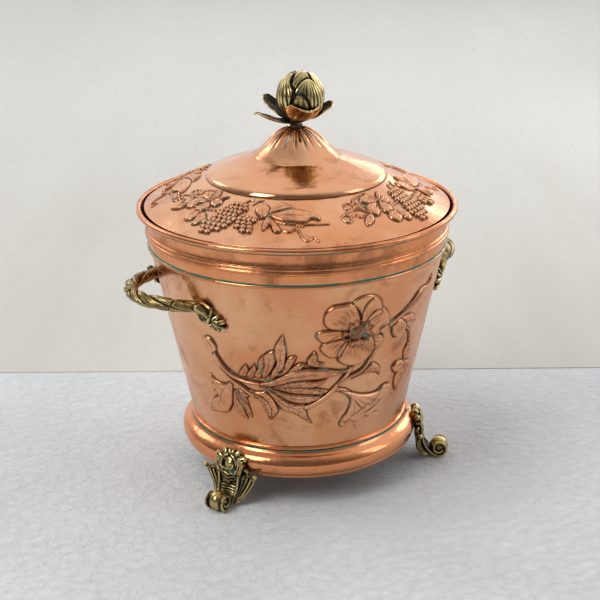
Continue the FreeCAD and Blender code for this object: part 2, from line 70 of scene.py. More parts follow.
def make_mesh(name, points, corners, counts, floats, normals=None):
    """A smooth-shaded mesh from points in millimetres, face corners and the corner count of each face."""
    mesh = bpy.data.meshes.new(name)
    mesh.vertices.add(len(points))
    mesh.vertices.foreach_set("co", (np.asarray(points) / 1000).astype(np.float32).ravel())
    mesh.loops.add(len(corners))
    mesh.loops.foreach_set("vertex_index", np.asarray(corners, dtype=np.int32))
    mesh.polygons.add(len(counts))
    starts = np.concatenate([[0], np.cumsum(counts)[:-1]]).astype(np.int32)
    mesh.polygons.foreach_set("loop_start", starts)
    mesh.polygons.foreach_set("use_smooth", np.ones(len(counts), dtype=bool))
    mesh.update(calc_edges=True)
    for key, values in floats.items():
        layer = mesh.attributes.new(key, "FLOAT", "POINT")
        layer.data.foreach_set("value", np.asarray(values, dtype=np.float32))
    if normals is not None:
        mesh.normals_split_custom_set_from_vertices(np.asarray(normals, dtype=np.float32))
    return placed(name, mesh)


def quad_mesh(name, points, quads, floats, normals=None):
    return make_mesh(name, points, quads.ravel(), np.full(len(quads), 4), floats, normals)


def turned_quads(ids, closed=False):
    """Faces between the rows of a grid of points whose columns, and if closed its rows, run round."""
    if closed:
        ids = np.vstack([ids, ids[:1]])
    after = np.roll(ids, -1, 1)
    return np.stack([ids[:-1], after[:-1], after[1:], ids[1:]], -1).reshape(-1, 4)


def unit(vectors):
    return vectors / np.linalg.norm(vectors, axis=-1, keepdims=True)


def turns(first, last, count):
    """Evenly spaced angles in radians between two in degrees."""
    return np.radians(np.linspace(first, last, count))


def round_angles(columns):
    return np.arange(columns) * TAU / columns


def polar(theta, r, z):
    """Points at angles round from the front towards +X."""
    return np.stack(np.broadcast_arrays(r * np.sin(theta), -r * np.cos(theta), z), -1)


def rings(columns, profile):
    """Rings of points round the axis, one for each radius and height of the profile."""
    r, z = np.array(profile, dtype=float).T[:, :, None]
    return polar(round_angles(columns), r, z)


def finished(piece, material, body, slot, *nodes):
    """Gives a piece its material and body, and hides the CAD nodes it stands for. Its slot is not used."""
    piece.data.materials.append(material)
    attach(piece, body)
    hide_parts(*nodes)


# ---- drawing relief on a flat grid ----
def spline(points, closed, steps=6):
    """Points along a Catmull-Rom curve through the given ones."""
    p = np.asarray(points, dtype=float)
    if closed:
        p = np.vstack([p[-1], p, p[0], p[1]])
    else:
        p = np.vstack([2 * p[0] - p[1], p, 2 * p[-1] - p[-2]])
    t = np.linspace(0, 1, steps, endpoint=False)[:, None]
    runs = []
    for a, b, c, d in zip(p[:-3], p[1:-2], p[2:-1], p[3:]):
        runs.append(0.5 * (2 * b + (c - a) * t + (2 * a - 5 * b + 4 * c - d) * t ** 2
                           + (3 * b - a - 3 * c + d) * t ** 3))
    line = np.vstack(runs)
    return line if closed else np.vstack([line, p[-2]])


def rounded(d, radius):
    """A quarter round: 0 at the edge and 1 from the radius inwards."""
    return np.sqrt(np.clip(1 - (1 - np.clip(d / radius, 0, 1)) ** 2, 0, 1))


def crowned(d, radius):
    """A half round: 1 in the middle and 0 at the radius."""
    return np.sqrt(np.clip(1 - (d / radius) ** 2, 0, 1))


def bell_curve(d, width):
    return np.exp(-(d / width) ** 2)


def path_distance(u, v, line):
    """Distance to an open line of points, and how far along it the nearest point is, from 0 to 1."""
    best = np.full(u.shape, 1e9)
    along = np.zeros(u.shape)
    steps = np.hypot(*(line[1:] - line[:-1]).T)
    reach = np.concatenate([[0], np.cumsum(steps)])
    for k, (a, b) in enumerate(zip(line[:-1], line[1:])):
        d = b - a
        t = np.clip(((u - a[0]) * d[0] + (v - a[1]) * d[1]) / max(d @ d, 1e-9), 0, 1)
        dist = np.hypot(u - a[0] - t * d[0], v - a[1] - t * d[1])
        nearer = dist < best
        best = np.where(nearer, dist, best)
        along = np.where(nearer, (reach[k] + t * steps[k]) / reach[-1], along)
    return best, along


def inside_distance(u, v, line):
    """Signed distance to a closed outline, positive inside."""
    ring = np.vstack([line, line[:1]])
    best, _ = path_distance(u, v, ring)
    inside = np.zeros(u.shape, dtype=bool)
    for a, b in zip(ring[:-1], ring[1:]):
        if a[1] != b[1]:
            crosses = ((a[1] > v) != (b[1] > v)) & (u < (b[0] - a[0]) * (v - a[1]) / (b[1] - a[1]) + a[0])
            inside ^= crosses
    return np.where(inside, best, -best)


def point_on(line, share):
    """The point at a share of the way along a line of evenly spaced points."""
    at = share * (len(line) - 1)
    return np.array([np.interp(at, np.arange(len(line)), column) for column in line.T])


class Relief:
    """Embossing drawn on a flat grid: its height, and how dark its chased lines and hollows are."""

    def __init__(self, u0, v0, step_u, step_v, columns, rows, line=1.0):
        self.u, self.v = np.meshgrid(u0 + step_u * np.arange(columns), v0 + step_v * np.arange(rows))
        self.height = np.zeros(self.u.shape)
        self.dark = np.zeros(self.u.shape)
        self.line = line  # how wide its lines and edges are beside the bucket's own

    def window(self, line, margin):
        low, high = line.min(0) - margin, line.max(0) + margin
        rows = np.nonzero((self.v[:, 0] >= low[1]) & (self.v[:, 0] <= high[1]))[0]
        columns = np.nonzero((self.u[0] >= low[0]) & (self.u[0] <= high[0]))[0]
        return np.s_[rows[0]:rows[-1] + 1, columns[0]:columns[-1] + 1]

    def lay(self, win, cover, height, line_dark):
        """Lays a shape over what is there, inside its window."""
        self.height[win] = self.height[win] * (1 - cover) + height * cover
        self.dark[win] = np.maximum(self.dark[win] * (1 - cover), line_dark)

    def shape(self, outline, base, bulge, edge, dish=0.0, outline_dark=1.0):
        """A raised shape with a rounded edge and a chased outline."""
        line = spline(outline, True)
        win = self.window(line, 3)
        d = inside_distance(self.u[win], self.v[win], line)
        edge = edge * self.line
        sag = dish * smoothstep(edge * 0.7, edge * 3.2, d)
        groove = bell_curve(d + 0.3, 0.65 * self.line)
        self.lay(win, smoothstep(-0.5, 0.4, d), base + bulge * rounded(d, edge) - sag, 0)
        self.height[win] -= 0.3 * groove
        self.dark[win] = np.maximum(self.dark[win], outline_dark * groove)

    def groove(self, points, width, depth, dark):
        """A chased line, finer at its two ends."""
        line = spline(points, False)
        win = self.window(line, 3)
        d, along = path_distance(self.u[win], self.v[win], line)
        thin = 0.35 + 0.65 * np.sin(np.pi * np.clip(along, 0.04, 0.96))
        cut = bell_curve(d, width * thin * self.line) * thin
        self.height[win] -= depth * cut
        self.dark[win] = np.maximum(self.dark[win], dark * cut)

    def grooves(self, cuts):
        for line, *cut in cuts:
            self.groove(line, *cut)

    def leaves(self, outlines, base, bulge, veins=5):
        for outline, tip in outlines:
            self.leaf(outline, tip, base, bulge, veins)

    def stem(self, points, radius0, radius1, base, bulge, dark=0.9):
        """A rounded stem along a line, tapering from one half-width to the other."""
        line = spline(points, False)
        win = self.window(line, max(radius0, radius1) + 3)
        d, along = path_distance(self.u[win], self.v[win], line)
        radius = radius0 + (radius1 - radius0) * along
        groove = bell_curve(d - radius - 0.3, 0.75 * self.line)
        self.lay(win, smoothstep(0.5, -0.4, d - radius), base + bulge * crowned(d, radius), 0)
        self.height[win] -= 0.35 * groove
        self.dark[win] = np.maximum(self.dark[win], dark * groove)

    def ball(self, x, y, radius, base, bulge):
        centre = np.array([[x - radius, y - radius], [x + radius, y + radius]])
        win = self.window(centre, 2)
        d = np.hypot(self.u[win] - x, self.v[win] - y)
        groove = bell_curve(d - radius - 0.1, 0.7 * self.line)
        self.lay(win, smoothstep(0.4, -0.3, d - radius), base + bulge * crowned(d, radius), 0)
        self.dark[win] = np.maximum(self.dark[win], groove)

    def leaf(self, outline, tip, base, bulge, veins=5):
        """A leaf or lobe from its root, the outline's first point, to its tip, with rib and veins."""
        self.shape(outline, base * 0.8, bulge * 1.15, edge=4.6)
        p = np.asarray(outline, dtype=float)
        sides = [p[:tip + 1], np.vstack([p[tip:], p[:1]])[::-1]]
        ribs = []
        for side in sides:
            reach = np.concatenate([[0], np.cumsum(np.hypot(*(side[1:] - side[:-1]).T))])
            at = np.linspace(0, reach[-1], 6)
            ribs.append(np.stack([np.interp(at, reach, side[:, k]) for k in (0, 1)], -1))
        rib = (ribs[0] + ribs[1]) / 2
        self.groove(rib[:-1], 0.65, 0.5, 0.85)
        for side in ribs:
            for k in range(2 * veins):
                f = (k + 0.6) / (2 * veins + 0.4)
                start = point_on(rib, f)
                margin = point_on(side, min(f + 0.128, 0.97))
                long_vein = k % 2 == 0
                root = start + (margin - start) * (0.0 if long_vein else 0.4)
                end = start + (margin - start) * (0.8 if long_vein else 0.92)
                middle = (root + end) / 2 + (rib[-1] - rib[0]) * 0.02
                if np.hypot(*(margin - start)) > 2.6:
                    self.groove([root, middle, end], 0.5, 0.34, 0.85 if long_vein else 0.7)


# ---- the flower spray on the bucket ----
SPRAY_DROP = 5.0  # the spray's own heights are measured from this far below the floor
SPRAY_SCALE = 2.321  # millimetres of the spray's own grid per degree round the wall
FLOWER = (-3.0, 198.0)
STREAKS, STAMENS, SEEDS = 84, 30, 26

# each outline starts at the shape's root, and the number is the place of its tip in the list
UPPER_LOBES = (
    ([(-112, 148), (-119, 149), (-117, 155), (-113, 160), (-110, 163), (-108, 157), (-108, 151)], 4),
    ([(-105, 148), (-110, 151), (-107, 157), (-103, 162), (-101, 165), (-99, 158), (-101, 151)], 4),
    ([(-98, 148), (-102, 152), (-98, 160), (-96, 169), (-91, 176), (-88, 169), (-91, 158), (-95, 150)], 4),
    ([(-93, 148), (-94, 155), (-91, 164), (-91, 173), (-88, 179), (-81, 182), (-76, 177), (-80, 169),
      (-83, 161), (-88, 153)], 5),
    ([(-74, 152), (-70, 158), (-63, 164), (-57, 168), (-51, 167), (-55, 161), (-61, 156), (-67, 152)], 4),
    ([(-80, 152), (-77, 160), (-71, 168), (-67, 175), (-60, 176), (-62, 169), (-66, 162), (-71, 156)], 4),
    ([(-86, 149), (-84, 158), (-79, 167), (-80, 177), (-79, 187), (-75, 195), (-71.5, 200.5), (-70.5, 192),
      (-69, 182), (-70, 172), (-72, 163), (-78, 154)], 6),
    ([(-42, 163), (-49, 166), (-49, 172), (-46, 177), (-42.5, 181), (-40, 175), (-39.5, 169), (-33, 167),
      (-37, 163)], 4),
)
BIG_LEAF_LOBES = (
    ([(-84, 140), (-76, 144), (-64, 148), (-52, 149), (-42, 147), (-30, 149), (-34, 143), (-42, 140),
      (-54, 139), (-68, 139)], 5),
    ([(-84, 139), (-70, 140), (-60, 141), (-48, 140), (-40, 138), (-27, 134), (-38, 131), (-50, 132),
      (-62, 133), (-74, 136)], 5),
    ([(-88, 138), (-78, 136), (-68, 133), (-56, 132), (-46, 131), (-35, 127), (-45, 122), (-55, 121),
      (-65, 123), (-75, 128), (-82, 133)], 5),
    ([(-93, 139), (-82, 133), (-72, 125), (-62, 121), (-52, 120), (-50, 112), (-48, 104), (-43.5, 96),
      (-52, 102), (-59, 107), (-65, 110), (-73, 112), (-79, 118), (-84, 126), (-90, 134)], 7),
)
TOP_LOBE = ([(-100, 142), (-88, 146), (-78, 151), (-68, 157), (-58, 160.5), (-48, 162), (-38, 161),
             (-28, 159.5), (-18, 157), (-8, 155.5), (-18, 152.5), (-28, 150.5), (-40, 149), (-52, 149),
             (-64, 147), (-76, 143), (-88, 140.5)], 9)
LOWER_LOBES = (
    ([(-130, 137), (-140, 134), (-150, 135), (-158.5, 141), (-155, 132), (-159, 127), (-154, 123.5),
      (-158, 119), (-151, 117), (-159, 112), (-163, 106), (-167, 99), (-170.5, 93.5), (-160, 96), (-150, 97),
      (-141, 100), (-136, 106), (-132, 116)], 12),
    ([(-127, 130), (-131, 118), (-131, 108), (-127, 102), (-116, 97), (-119, 105), (-121, 114)], 4),
    ([(-125, 130), (-124, 119), (-118, 109), (-110.5, 99.5), (-112, 110), (-116, 119)], 3),
    ([(-122, 131), (-120, 123), (-113, 114.5), (-114, 122), (-111, 127)], 2),
    ([(-98, 138), (-90, 135), (-84, 128), (-80, 120), (-78, 113.5), (-74, 119), (-79, 129), (-87, 138)], 4),
    ([(-110, 133), (-101, 132), (-92, 133), (-86, 128), (-82, 120), (-80, 112), (-83, 106), (-89.5, 100),
      (-91, 108), (-95, 115), (-98, 121), (-104, 126)], 7),
)
RIGHT_LEAF = ([(-3, 144), (5, 149), (12, 153), (19, 158), (25, 155.5), (30, 150), (31.5, 141), (27, 145),
               (19, 147.5), (9, 147)], 6)

PETALS = (
    # outline from the flower's middle outwards, height of its base, bulge, dish
    ([(-3, 205), (-8, 218), (-10, 230), (-6, 235.5), (1, 238), (9, 237), (16, 233), (20, 226), (20, 216),
      (10, 207)], 0.5, 1.6, 0.6),
    ([(-9, 198), (-20, 203), (-31, 204), (-38, 203), (-41, 199), (-39, 194), (-34, 190), (-20, 192)],
     0.3, 1.6, 0.7),
    ([(4, 194), (14, 196), (21, 192), (28, 186), (28.5, 181), (24, 175), (18, 173), (8, 180)], 0.3, 1.6, 0.5),
    ([(-8, 192), (-12, 186), (-16, 176), (-20, 172.5), (-28, 173), (-34, 178), (-37.5, 184), (-33, 190.5),
      (-22, 193)], 0.7, 1.9, 0.8),
    ([(2, 202), (8, 212), (14, 218), (22, 220), (28, 214), (31, 206), (31, 199), (26, 193), (17, 191),
      (8, 193)], 1.0, 2.0, 0.9),
    ([(3, 190), (13, 190), (17, 182), (17, 175), (12, 167), (4, 162), (-5, 161), (-14, 164), (-20, 170),
      (-16, 180), (-12, 189)], 1.3, 2.2, 1.1),
    ([(-6, 202), (-16, 203), (-27, 205), (-33, 209), (-35, 216), (-33, 225), (-27, 230.5), (-18, 231.5),
      (-12, 232), (-6, 226), (-2, 216), (-1, 207)], 1.3, 2.2, 1.1),
    ([(1, 206), (0.5, 218), (4, 229), (9, 234.5), (15, 232), (19, 225), (19, 219), (12, 219), (8, 214)], 1.2,
     1.8, 0.8),
)
FOLDS = (
    [(6, 212), (9, 217), (14, 220.5), (19, 219), (20, 216), (13, 213), (7, 210)],
    [(21, 195), (24, 199), (30, 200.5), (30, 193), (26, 190)],
    [(-19, 174), (-15, 182), (-12, 190), (-14, 190), (-18, 184), (-21, 176)],
)
# chased lines, each with its width, depth and darkness
PETAL_CUTS = (
    ([(-2, 207), (-1, 215), (-3, 222), (-5, 227)], 1.5, 1.2, 1.0),
    ([(14, 166), (18, 172), (19, 177)], 1.4, 1.0, 1.0),
    ([(-41, 204), (-42, 199), (-40.5, 193)], 1.1, 0.6, 1.0),
)
BELL_CUTS = (
    ([(8, 99), (18, 101), (28, 105), (36, 110), (44, 119)], 0.9, 0.9, 1.0),
    ([(-2, 124), (4, 117), (10, 110), (17, 103)], 0.8, 0.7, 0.95),
    ([(3, 123), (12, 115), (22, 109), (30, 107)], 0.6, 0.35, 0.7),
    ([(10, 122), (20, 117), (30, 114), (37, 116)], 0.6, 0.35, 0.7),
    ([(1, 119), (3, 110), (4, 102)], 0.6, 0.35, 0.6),
    ([(6, 90), (9, 84), (13, 79)], 0.7, 0.6, 0.9),
)
BRANCH_CUTS = (
    ([(-145, 173), (-147, 178), (-151, 183)], 0.7, 0.5, 0.9),
    ([(-149, 172), (-152, 177), (-152, 182)], 0.6, 0.4, 0.7),
    ([(-46, 161), (-41, 161.5), (-36, 161)], 1.3, 1.0, 1.0),
    ([(-79, 156), (-76, 158), (-72, 160)], 1.6, 0.9, 1.0),
)
BELL = [(-16, 133), (-8, 131), (0, 128), (10, 124), (22, 121.5), (33, 122), (38, 126), (45, 126.5), (49, 121),
        (50, 114), (46, 108), (40, 103), (38, 96), (31, 98), (25, 93.5), (18, 96), (10, 91.5), (2, 93),
        (-4, 90), (-9, 88), (-12, 92), (-9, 98), (-4, 105), (-1.5, 113), (-2, 121), (-6, 126)]


def from_flower(angle, reach):
    return FLOWER[0] + reach * math.cos(angle), FLOWER[1] + reach * math.sin(angle)


def petal_streaks(relief, random):
    """Fine chased streaks running outwards on the petals, and the ring of stamens."""
    for angle in np.arange(0, TAU, TAU / STREAKS):
        a = angle + random.uniform(-0.04, 0.04)
        start = random.uniform(14, 24)
        end = start + random.uniform(5, 16)
        line = [from_flower(a + 0.05 * k, r) for k, r in enumerate(np.linspace(start, end, 3))]
        relief.groove(line, 0.5, 0.24, random.uniform(0.45, 0.9))
    for angle in np.arange(0, TAU, TAU / STAMENS):
        a = angle + random.uniform(-0.06, 0.06)
        end = random.uniform(11.5, 15.5)
        relief.groove([from_flower(a, r) for r in (8.2, 10.5, end)], 0.6, 0.5, 0.95)
        relief.ball(*from_flower(a + 0.1, end + 0.6), 1.0, 2.6, 0.9)


def flower(relief, random):
    for outline, base, bulge, dish in PETALS:
        relief.shape(outline, base, bulge, edge=3.2, dish=1.3 * dish, outline_dark=0.85)
    petal_streaks(relief, random)
    for outline in FOLDS:
        relief.shape(outline, 2.2, 1.1, edge=1.6)
    relief.ball(*FLOWER, 8.2, 1.6, 1.4)
    relief.ball(*FLOWER, 6.6, 2.2, 1.9)
    for k in range(SEEDS):
        relief.ball(*from_flower(k * 2.4, 5.4 * math.sqrt((k + 0.5) / SEEDS)), 0.95, 3.6, 0.6)
    relief.grooves(PETAL_CUTS)


def bell(relief, random):
    """The drooping bell-shaped bloom under the right stem, its scalloped mouth towards the viewer."""
    relief.stem([(-17, 134), (-9, 131), (-3, 126), (0, 122)], 2.2, 3.0, 0.5, 1.8)
    relief.shape(BELL, 0.6, 2.6, edge=3.0)
    for k in range(34):
        x = -8 + 1.45 * k + random.uniform(-0.7, 0.7)
        top = 96 + 0.5 * (x + 8) + random.uniform(-2.5, 2.5)
        reach = random.uniform(2.5, 6.5)
        relief.groove([(x, top), (x - 0.3 * reach, top - 0.6 * reach), (x - 0.35 * reach, top - reach)],
                      random.uniform(0.6, 1.4), 0.5, random.uniform(0.4, 0.95))
    relief.grooves(BELL_CUTS)
    relief.shape([(30, 113), (38, 120), (44, 126), (50, 125), (47, 116), (38, 111)], 2.4, 1.0, 2.6, 0.0, 0.5)


def side_branch(relief):
    """The thinner branch right of the flower, with its buds and leaves."""
    relief.leaf([(44, 201), (50, 209), (60, 216), (68, 224), (76, 227), (84, 226), (92, 235), (91, 229),
                 (84, 222), (74, 214), (62, 207), (52, 202)], 6, 0.4, 1.9, 5)
    relief.stem([(30, 197), (38, 200), (48, 205), (60, 211), (72, 219)], 2.3, 1.2, 1.0, 1.7)
    relief.leaf([(40, 198), (50, 201), (60, 201), (68, 199), (76, 189), (66, 190), (58, 187), (50, 190)],
                4, 0.4, 1.8, 4)
    relief.shape([(38, 197), (38, 190), (40, 184), (45, 180), (51, 181), (56, 186), (56, 193), (50, 199),
                  (44, 201)], 0.8, 2.8, 3.0)
    for k in range(4):
        relief.groove([(40 + 3 * k, 197), (42 + 3 * k, 190), (41 + 3 * k, 183)], 0.6, 0.4, 0.8)
    relief.stem([(60, 186), (67, 180), (71, 170), (72, 160), (70, 148)], 1.5, 1.3, 0.5, 1.5)
    relief.leaf([(70, 166), (66, 160), (66, 152), (70, 147), (76, 150), (78, 158), (75, 164)], 3, 0.5, 1.6, 3)
    relief.shape([(50, 145), (56, 149), (64, 148), (69, 143), (65, 138), (56, 136), (51, 140)], 0.6, 2.2, 2.5)
    relief.groove([(53, 143), (60, 144), (66, 142)], 0.6, 0.5, 0.9)
    relief.leaf([(68, 140), (61, 137), (58, 128), (60, 119), (66, 111), (69, 119), (76, 127), (74, 136)],
                4, 0.5, 2.0, 4)
    relief.leaf([(70, 142), (78, 143), (86, 139), (84, 131), (78, 127), (73, 134)], 3, 0.4, 1.7, 3)


def flower_spray(step_u, step_v, columns, rows, u0, v0):
    """The whole embossed spray: leafy branch on the left, open flower, bell and side branch."""
    random = np.random.default_rng(5)
    relief = Relief(u0, v0, step_u, step_v, columns, rows)
    relief.leaves(LOWER_LOBES, 0.4, 2.0)
    relief.stem([(-139, 152), (-129, 142), (-119, 136), (-108, 129), (-98, 125)], 2.0, 2.6, 1.0, 1.9)
    relief.leaf([(-104, 128), (-97, 127), (-91, 122), (-87, 113), (-89, 102), (-93, 110), (-97, 119)], 4, 1.0,
                1.8, 3)
    relief.leaves(UPPER_LOBES, 0.5, 2.1)
    relief.leaves(BIG_LEAF_LOBES, 0.8, 2.2)
    relief.leaf(*TOP_LOBE, 1.4, 2.2, 7)
    relief.stem([(-148, 175), (-144, 166), (-139, 158), (-132, 150.5), (-123, 145.5), (-112, 143),
                 (-98, 142.5)], 2.9, 1.6, 1.2, 2.0)
    relief.shape([(-142, 172), (-142, 178), (-145, 184), (-150, 186.5), (-155, 184), (-155, 178), (-151, 172),
                  (-147, 169)], 0.6, 2.2, 2.5)
    relief.grooves(BRANCH_CUTS)
    relief.stem([(-50, 116), (-42, 119.5), (-34, 124.5), (-26, 131), (-18, 139), (-11, 148), (-5, 158)],
                2.4, 2.2, 1.0, 2.0)
    relief.leaf(*RIGHT_LEAF, 0.5, 2.0)
    relief.stem([(-17, 140), (-8, 146.5), (2, 150), (9, 154), (14, 161), (17, 170)], 1.6, 1.8, 0.9, 1.6)
    bell(relief, random)
    side_branch(relief)
    flower(relief, random)
    return relief


# ---- the grape sprays on the lid ----
LID_SCALE_R = 126.0  # the lid's sprays are drawn on the developed circle of this radius
GRAPE_ROWS = ((107.5, 76, 4), (112.5, 73, 5), (117.5, 70, 5), (122.5, 72, 4), (127.5, 69, 5), (132.5, 66, 5),
              (137.5, 64, 5), (142.5, 66, 4), (147.5, 69, 2), (126.0, 95, 4), (131.0, 97, 3), (135.5, 98, 3),
              (140.0, 104, 2))
GRAPE_PITCH, GRAPE_R = 5.4, 2.85
LID_LOBES = (
    ([(42, 112), (34, 112), (26, 110), (22, 105), (27, 101), (35, 100), (42, 106)], 4),
    ([(44, 112), (38, 104), (37, 98), (42, 96), (45, 100), (46, 108)], 3),
    ([(40, 113), (35, 118), (33, 125), (27, 129), (22, 124), (22, 116), (29, 112)], 4),
    ([(46, 112), (51, 108), (58, 106), (61, 111), (57, 117), (50, 116)], 2),
    ([(44, 113), (50, 117), (50, 125), (44, 130), (38, 126), (40, 118)], 3),
    ([(46, 110), (50, 104), (56, 100), (61, 99), (58, 104), (52, 109)], 3),
    ([(45, 127), (38, 131), (38, 138), (43, 142), (49, 139), (50, 132)], 3),
    ([(50, 127), (51, 135), (53, 144), (59, 142), (61, 134), (57, 128)], 2),
    ([(22, 124), (14, 127), (10, 132), (9, 138), (16, 136), (21, 131)], 3),
    ([(118, 122), (111, 118), (106, 111), (108, 104), (114, 102), (120, 105), (122, 113)], 4),
    ([(124, 116), (122, 110), (126, 104), (134, 99), (142, 101), (149, 106), (142, 110), (132, 112)], 5),
    ([(124, 118), (134, 112), (146, 108), (156, 109), (166, 112), (174, 118), (174, 124), (166, 122),
      (158, 127), (148, 126), (136, 124)], 5),
    ([(122, 120), (120, 127), (122, 138), (127, 130), (132, 139), (138, 138), (134, 129), (127, 122)], 2),
)
LID_TENDRILS = (
    [(20, 122), (34, 123), (50, 122), (66, 120), (80, 119), (100, 121), (112, 123), (124, 119)],
    [(124, 122), (140, 127), (152, 128), (166, 129), (182, 129.5)],
    [(152, 129), (158, 131)],
    [(140, 136), (145, 138), (151, 134), (154, 138), (156, 145), (160, 149), (165, 145), (167, 146),
     (169, 150)],
    [(22, 112), (14, 113), (12, 106), (17, 101), (26, 98), (40, 95)],
    [(12, 107), (15, 104.5), (17, 107), (14, 109)],
    [(10, 113), (9, 107), (4, 105), (-1, 108), (0, 113), (4, 113)],
    [(20, 121), (14, 116), (6, 115), (-3, 118), (-5, 121)],
    [(-2, 122), (-6, 120), (-10, 124), (-7, 130), (-2, 129), (-1, 124), (6, 122), (9, 126), (15, 124)],
    [(100, 104), (104, 99), (110, 97)],
    [(88, 104), (92, 99), (97, 98)],
)


def grape_spray(step_u, step_v, columns, rows, u0, v0):
    """One spray of vine leaves, tendrils and two bunches of grapes."""
    relief = Relief(u0, v0, step_u, step_v, columns, rows, 0.72)
    for line in LID_TENDRILS:
        relief.stem(line, 1.1, 0.7, 0.3, 0.9, dark=0.8)
    relief.leaves(LID_LOBES, 0.4, 1.9, 3)
    for r, start, count in GRAPE_ROWS:
        for k in range(count):
            relief.ball(start + GRAPE_PITCH * k + 0.7 * math.sin(3.1 * r + k), r, GRAPE_R, 0.7, 2.2)
    return relief


# ---- sheets with relief ----
def periodic_waves(columns, rows, waves, random):
    """Gentle hammered unevenness, repeating round the sheet, about one high."""
    a = np.arange(columns)[None, :] * TAU / columns
    b = np.arange(rows)[:, None] / columns * TAU
    total = np.zeros((rows, columns))
    for _ in range(waves):
        m, n = random.integers(3, 34), random.uniform(-34, 34)
        total += np.cos(m * a + n * b + random.uniform(0, TAU)) / math.sqrt(waves)
    return total


def split_cells(field, size, tolerance):
    """Which square blocks of the grid a plain quad would not follow closely enough."""
    rows, columns = field.shape[0] - 1, field.shape[1]
    wrapped = np.concatenate([field, field[:, :1]], 1)
    f = np.linspace(0, 1, size + 1)
    c00, c01 = wrapped[:-1:size, :-1:size], wrapped[:-1:size, size::size]
    c10, c11 = wrapped[size::size, :-1:size], wrapped[size::size, size::size]
    worst = np.zeros((rows // size, columns // size))
    for j in range(size + 1):
        for i in range(size + 1):
            flat = (c00 * (1 - f[i]) + c01 * f[i]) * (1 - f[j]) + (c10 * (1 - f[i]) + c11 * f[i]) * f[j]
            real = wrapped[j:rows + 1 if j else rows:size, i:columns + 1 if i else columns:size]
            worst = np.maximum(worst, np.abs(real[:flat.shape[0], :flat.shape[1]] - flat))
    return worst > tolerance


def grown(mask):
    """The mask with its neighbours, wrapping round the columns."""
    wide = mask | np.roll(mask, 1, 1) | np.roll(mask, -1, 1)
    tall = wide.copy()
    tall[1:] |= wide[:-1]
    tall[:-1] |= wide[1:]
    return tall


def halved(mask):
    """Blocks of two by two of the mask, true where any of the four is."""
    return mask[::2, ::2] | mask[1::2, ::2] | mask[::2, 1::2] | mask[1::2, 1::2]


COARSE = 8  # grid steps of the largest face
HEIGHT_ERROR, DARK_ERROR = 0.05, 0.08  # the most that a face may miss of the relief and of its patina and painted shade


def adaptive_faces(fields):
    """Faces over a wrapped grid, small where the fields need it and up to COARSE steps elsewhere."""
    splits = {}
    for size in (2, 4, 8):
        need = False
        for field, tolerance in fields:
            need = need | split_cells(field, size, tolerance)
        splits[size] = need
    splits[4] |= halved(grown(splits[2]))
    splits[8] |= halved(grown(splits[4]))
    rows, columns = fields[0][0].shape[0], fields[0][0].shape[1]
    used = np.zeros((rows, columns), dtype=bool)
    cells = []
    for size in (8, 4, 2, 1):
        parent_split = None
        if size < COARSE:
            parent_split = np.repeat(np.repeat(splits[size * 2], 2, 0), 2, 1)
        if size > 1:
            leaf = ~splits[size]
        else:
            leaf = np.ones(parent_split.shape, dtype=bool)
        if parent_split is not None:
            leaf &= parent_split
        j, i = np.nonzero(leaf)
        i, j = i * size, j * size
        cells.append((size, i, j))
        for di, dj in ((0, 0), (size, 0), (size, size), (0, size)):
            used[j + dj, (i + di) % columns] = True
    used[[[0], [-1]], np.arange(0, columns, COARSE // 2)] = True
    index = np.cumsum(used.ravel()).reshape(used.shape) - 1
    corners, counts = [], []
    for size, i, j in cells:
        if size > 1:
            half = size // 2
            ring = ((0, 0), (half, 0), (size, 0), (size, half),
                    (size, size), (half, size), (0, size), (0, half))
        else:
            ring = ((0, 0), (1, 0), (1, 1), (0, 1))
        js = np.stack([j + dj for _, dj in ring], -1)
        js_i = np.stack([(i + di) % columns for di, _ in ring], -1)
        keep = used[js, js_i]
        if size > 1:
            keep[:, ::2] = True
        corners.append(index[js, js_i][keep])
        counts.append(keep.sum(1))
    return used, index, np.concatenate(corners), np.concatenate(counts)


def relief_sheet(name, points, height, dark, full_height, back, back_inside):
    """A closed sheet: a finely meshed front over the grid of points and a back of plain rings.

    The back rings run from the grid's last row round behind to its first row.
    """
    used, index, corners, counts = adaptive_faces([(height, HEIGHT_ERROR), (dark, DARK_ERROR)])
    rows, columns = used.shape
    normals = unit(np.cross(np.roll(points, -1, 1) - np.roll(points, 1, 1), np.gradient(points, axis=0)))
    step = columns // back.shape[1]
    closed = np.concatenate([points[-1:, ::step], back, points[:1, ::step]])
    back_normals = unit(np.cross(np.roll(back, -1, 1) - np.roll(back, 1, 1), closed[2:] - closed[:-2]))
    ids = used.sum() + np.arange(back.size // 3).reshape(back.shape[:2])

    def rim_faces(row, ring):
        faces = []
        for c in range(len(ring)):
            span = np.arange(c * step, (c + 1) * step + 1) % columns
            faces.append([*index[row, span[used[row, span]]], ring[(c + 1) % len(ring)], ring[c]])
        return faces

    faces = rim_faces(rows - 1, ids[0]) + [face[::-1] for face in rim_faces(0, ids[-1])]
    quads = turned_quads(ids)
    plain = np.zeros(ids.size)
    floats = {"dark": np.concatenate([dark[used], plain]),
              "inside": np.concatenate([np.zeros(used.sum()), np.repeat(back_inside, ids.shape[1])]),
              "raised": np.concatenate([height[used] / full_height, plain])}
    return make_mesh(name, np.concatenate([points[used], back.reshape(-1, 3)]),
                     np.concatenate([corners, np.concatenate(faces), quads.ravel()]),
                     np.concatenate([counts, [len(face) for face in faces], np.full(len(quads), 4)]),
                     floats, np.concatenate([normals[used], back_normals.reshape(-1, 3)]))


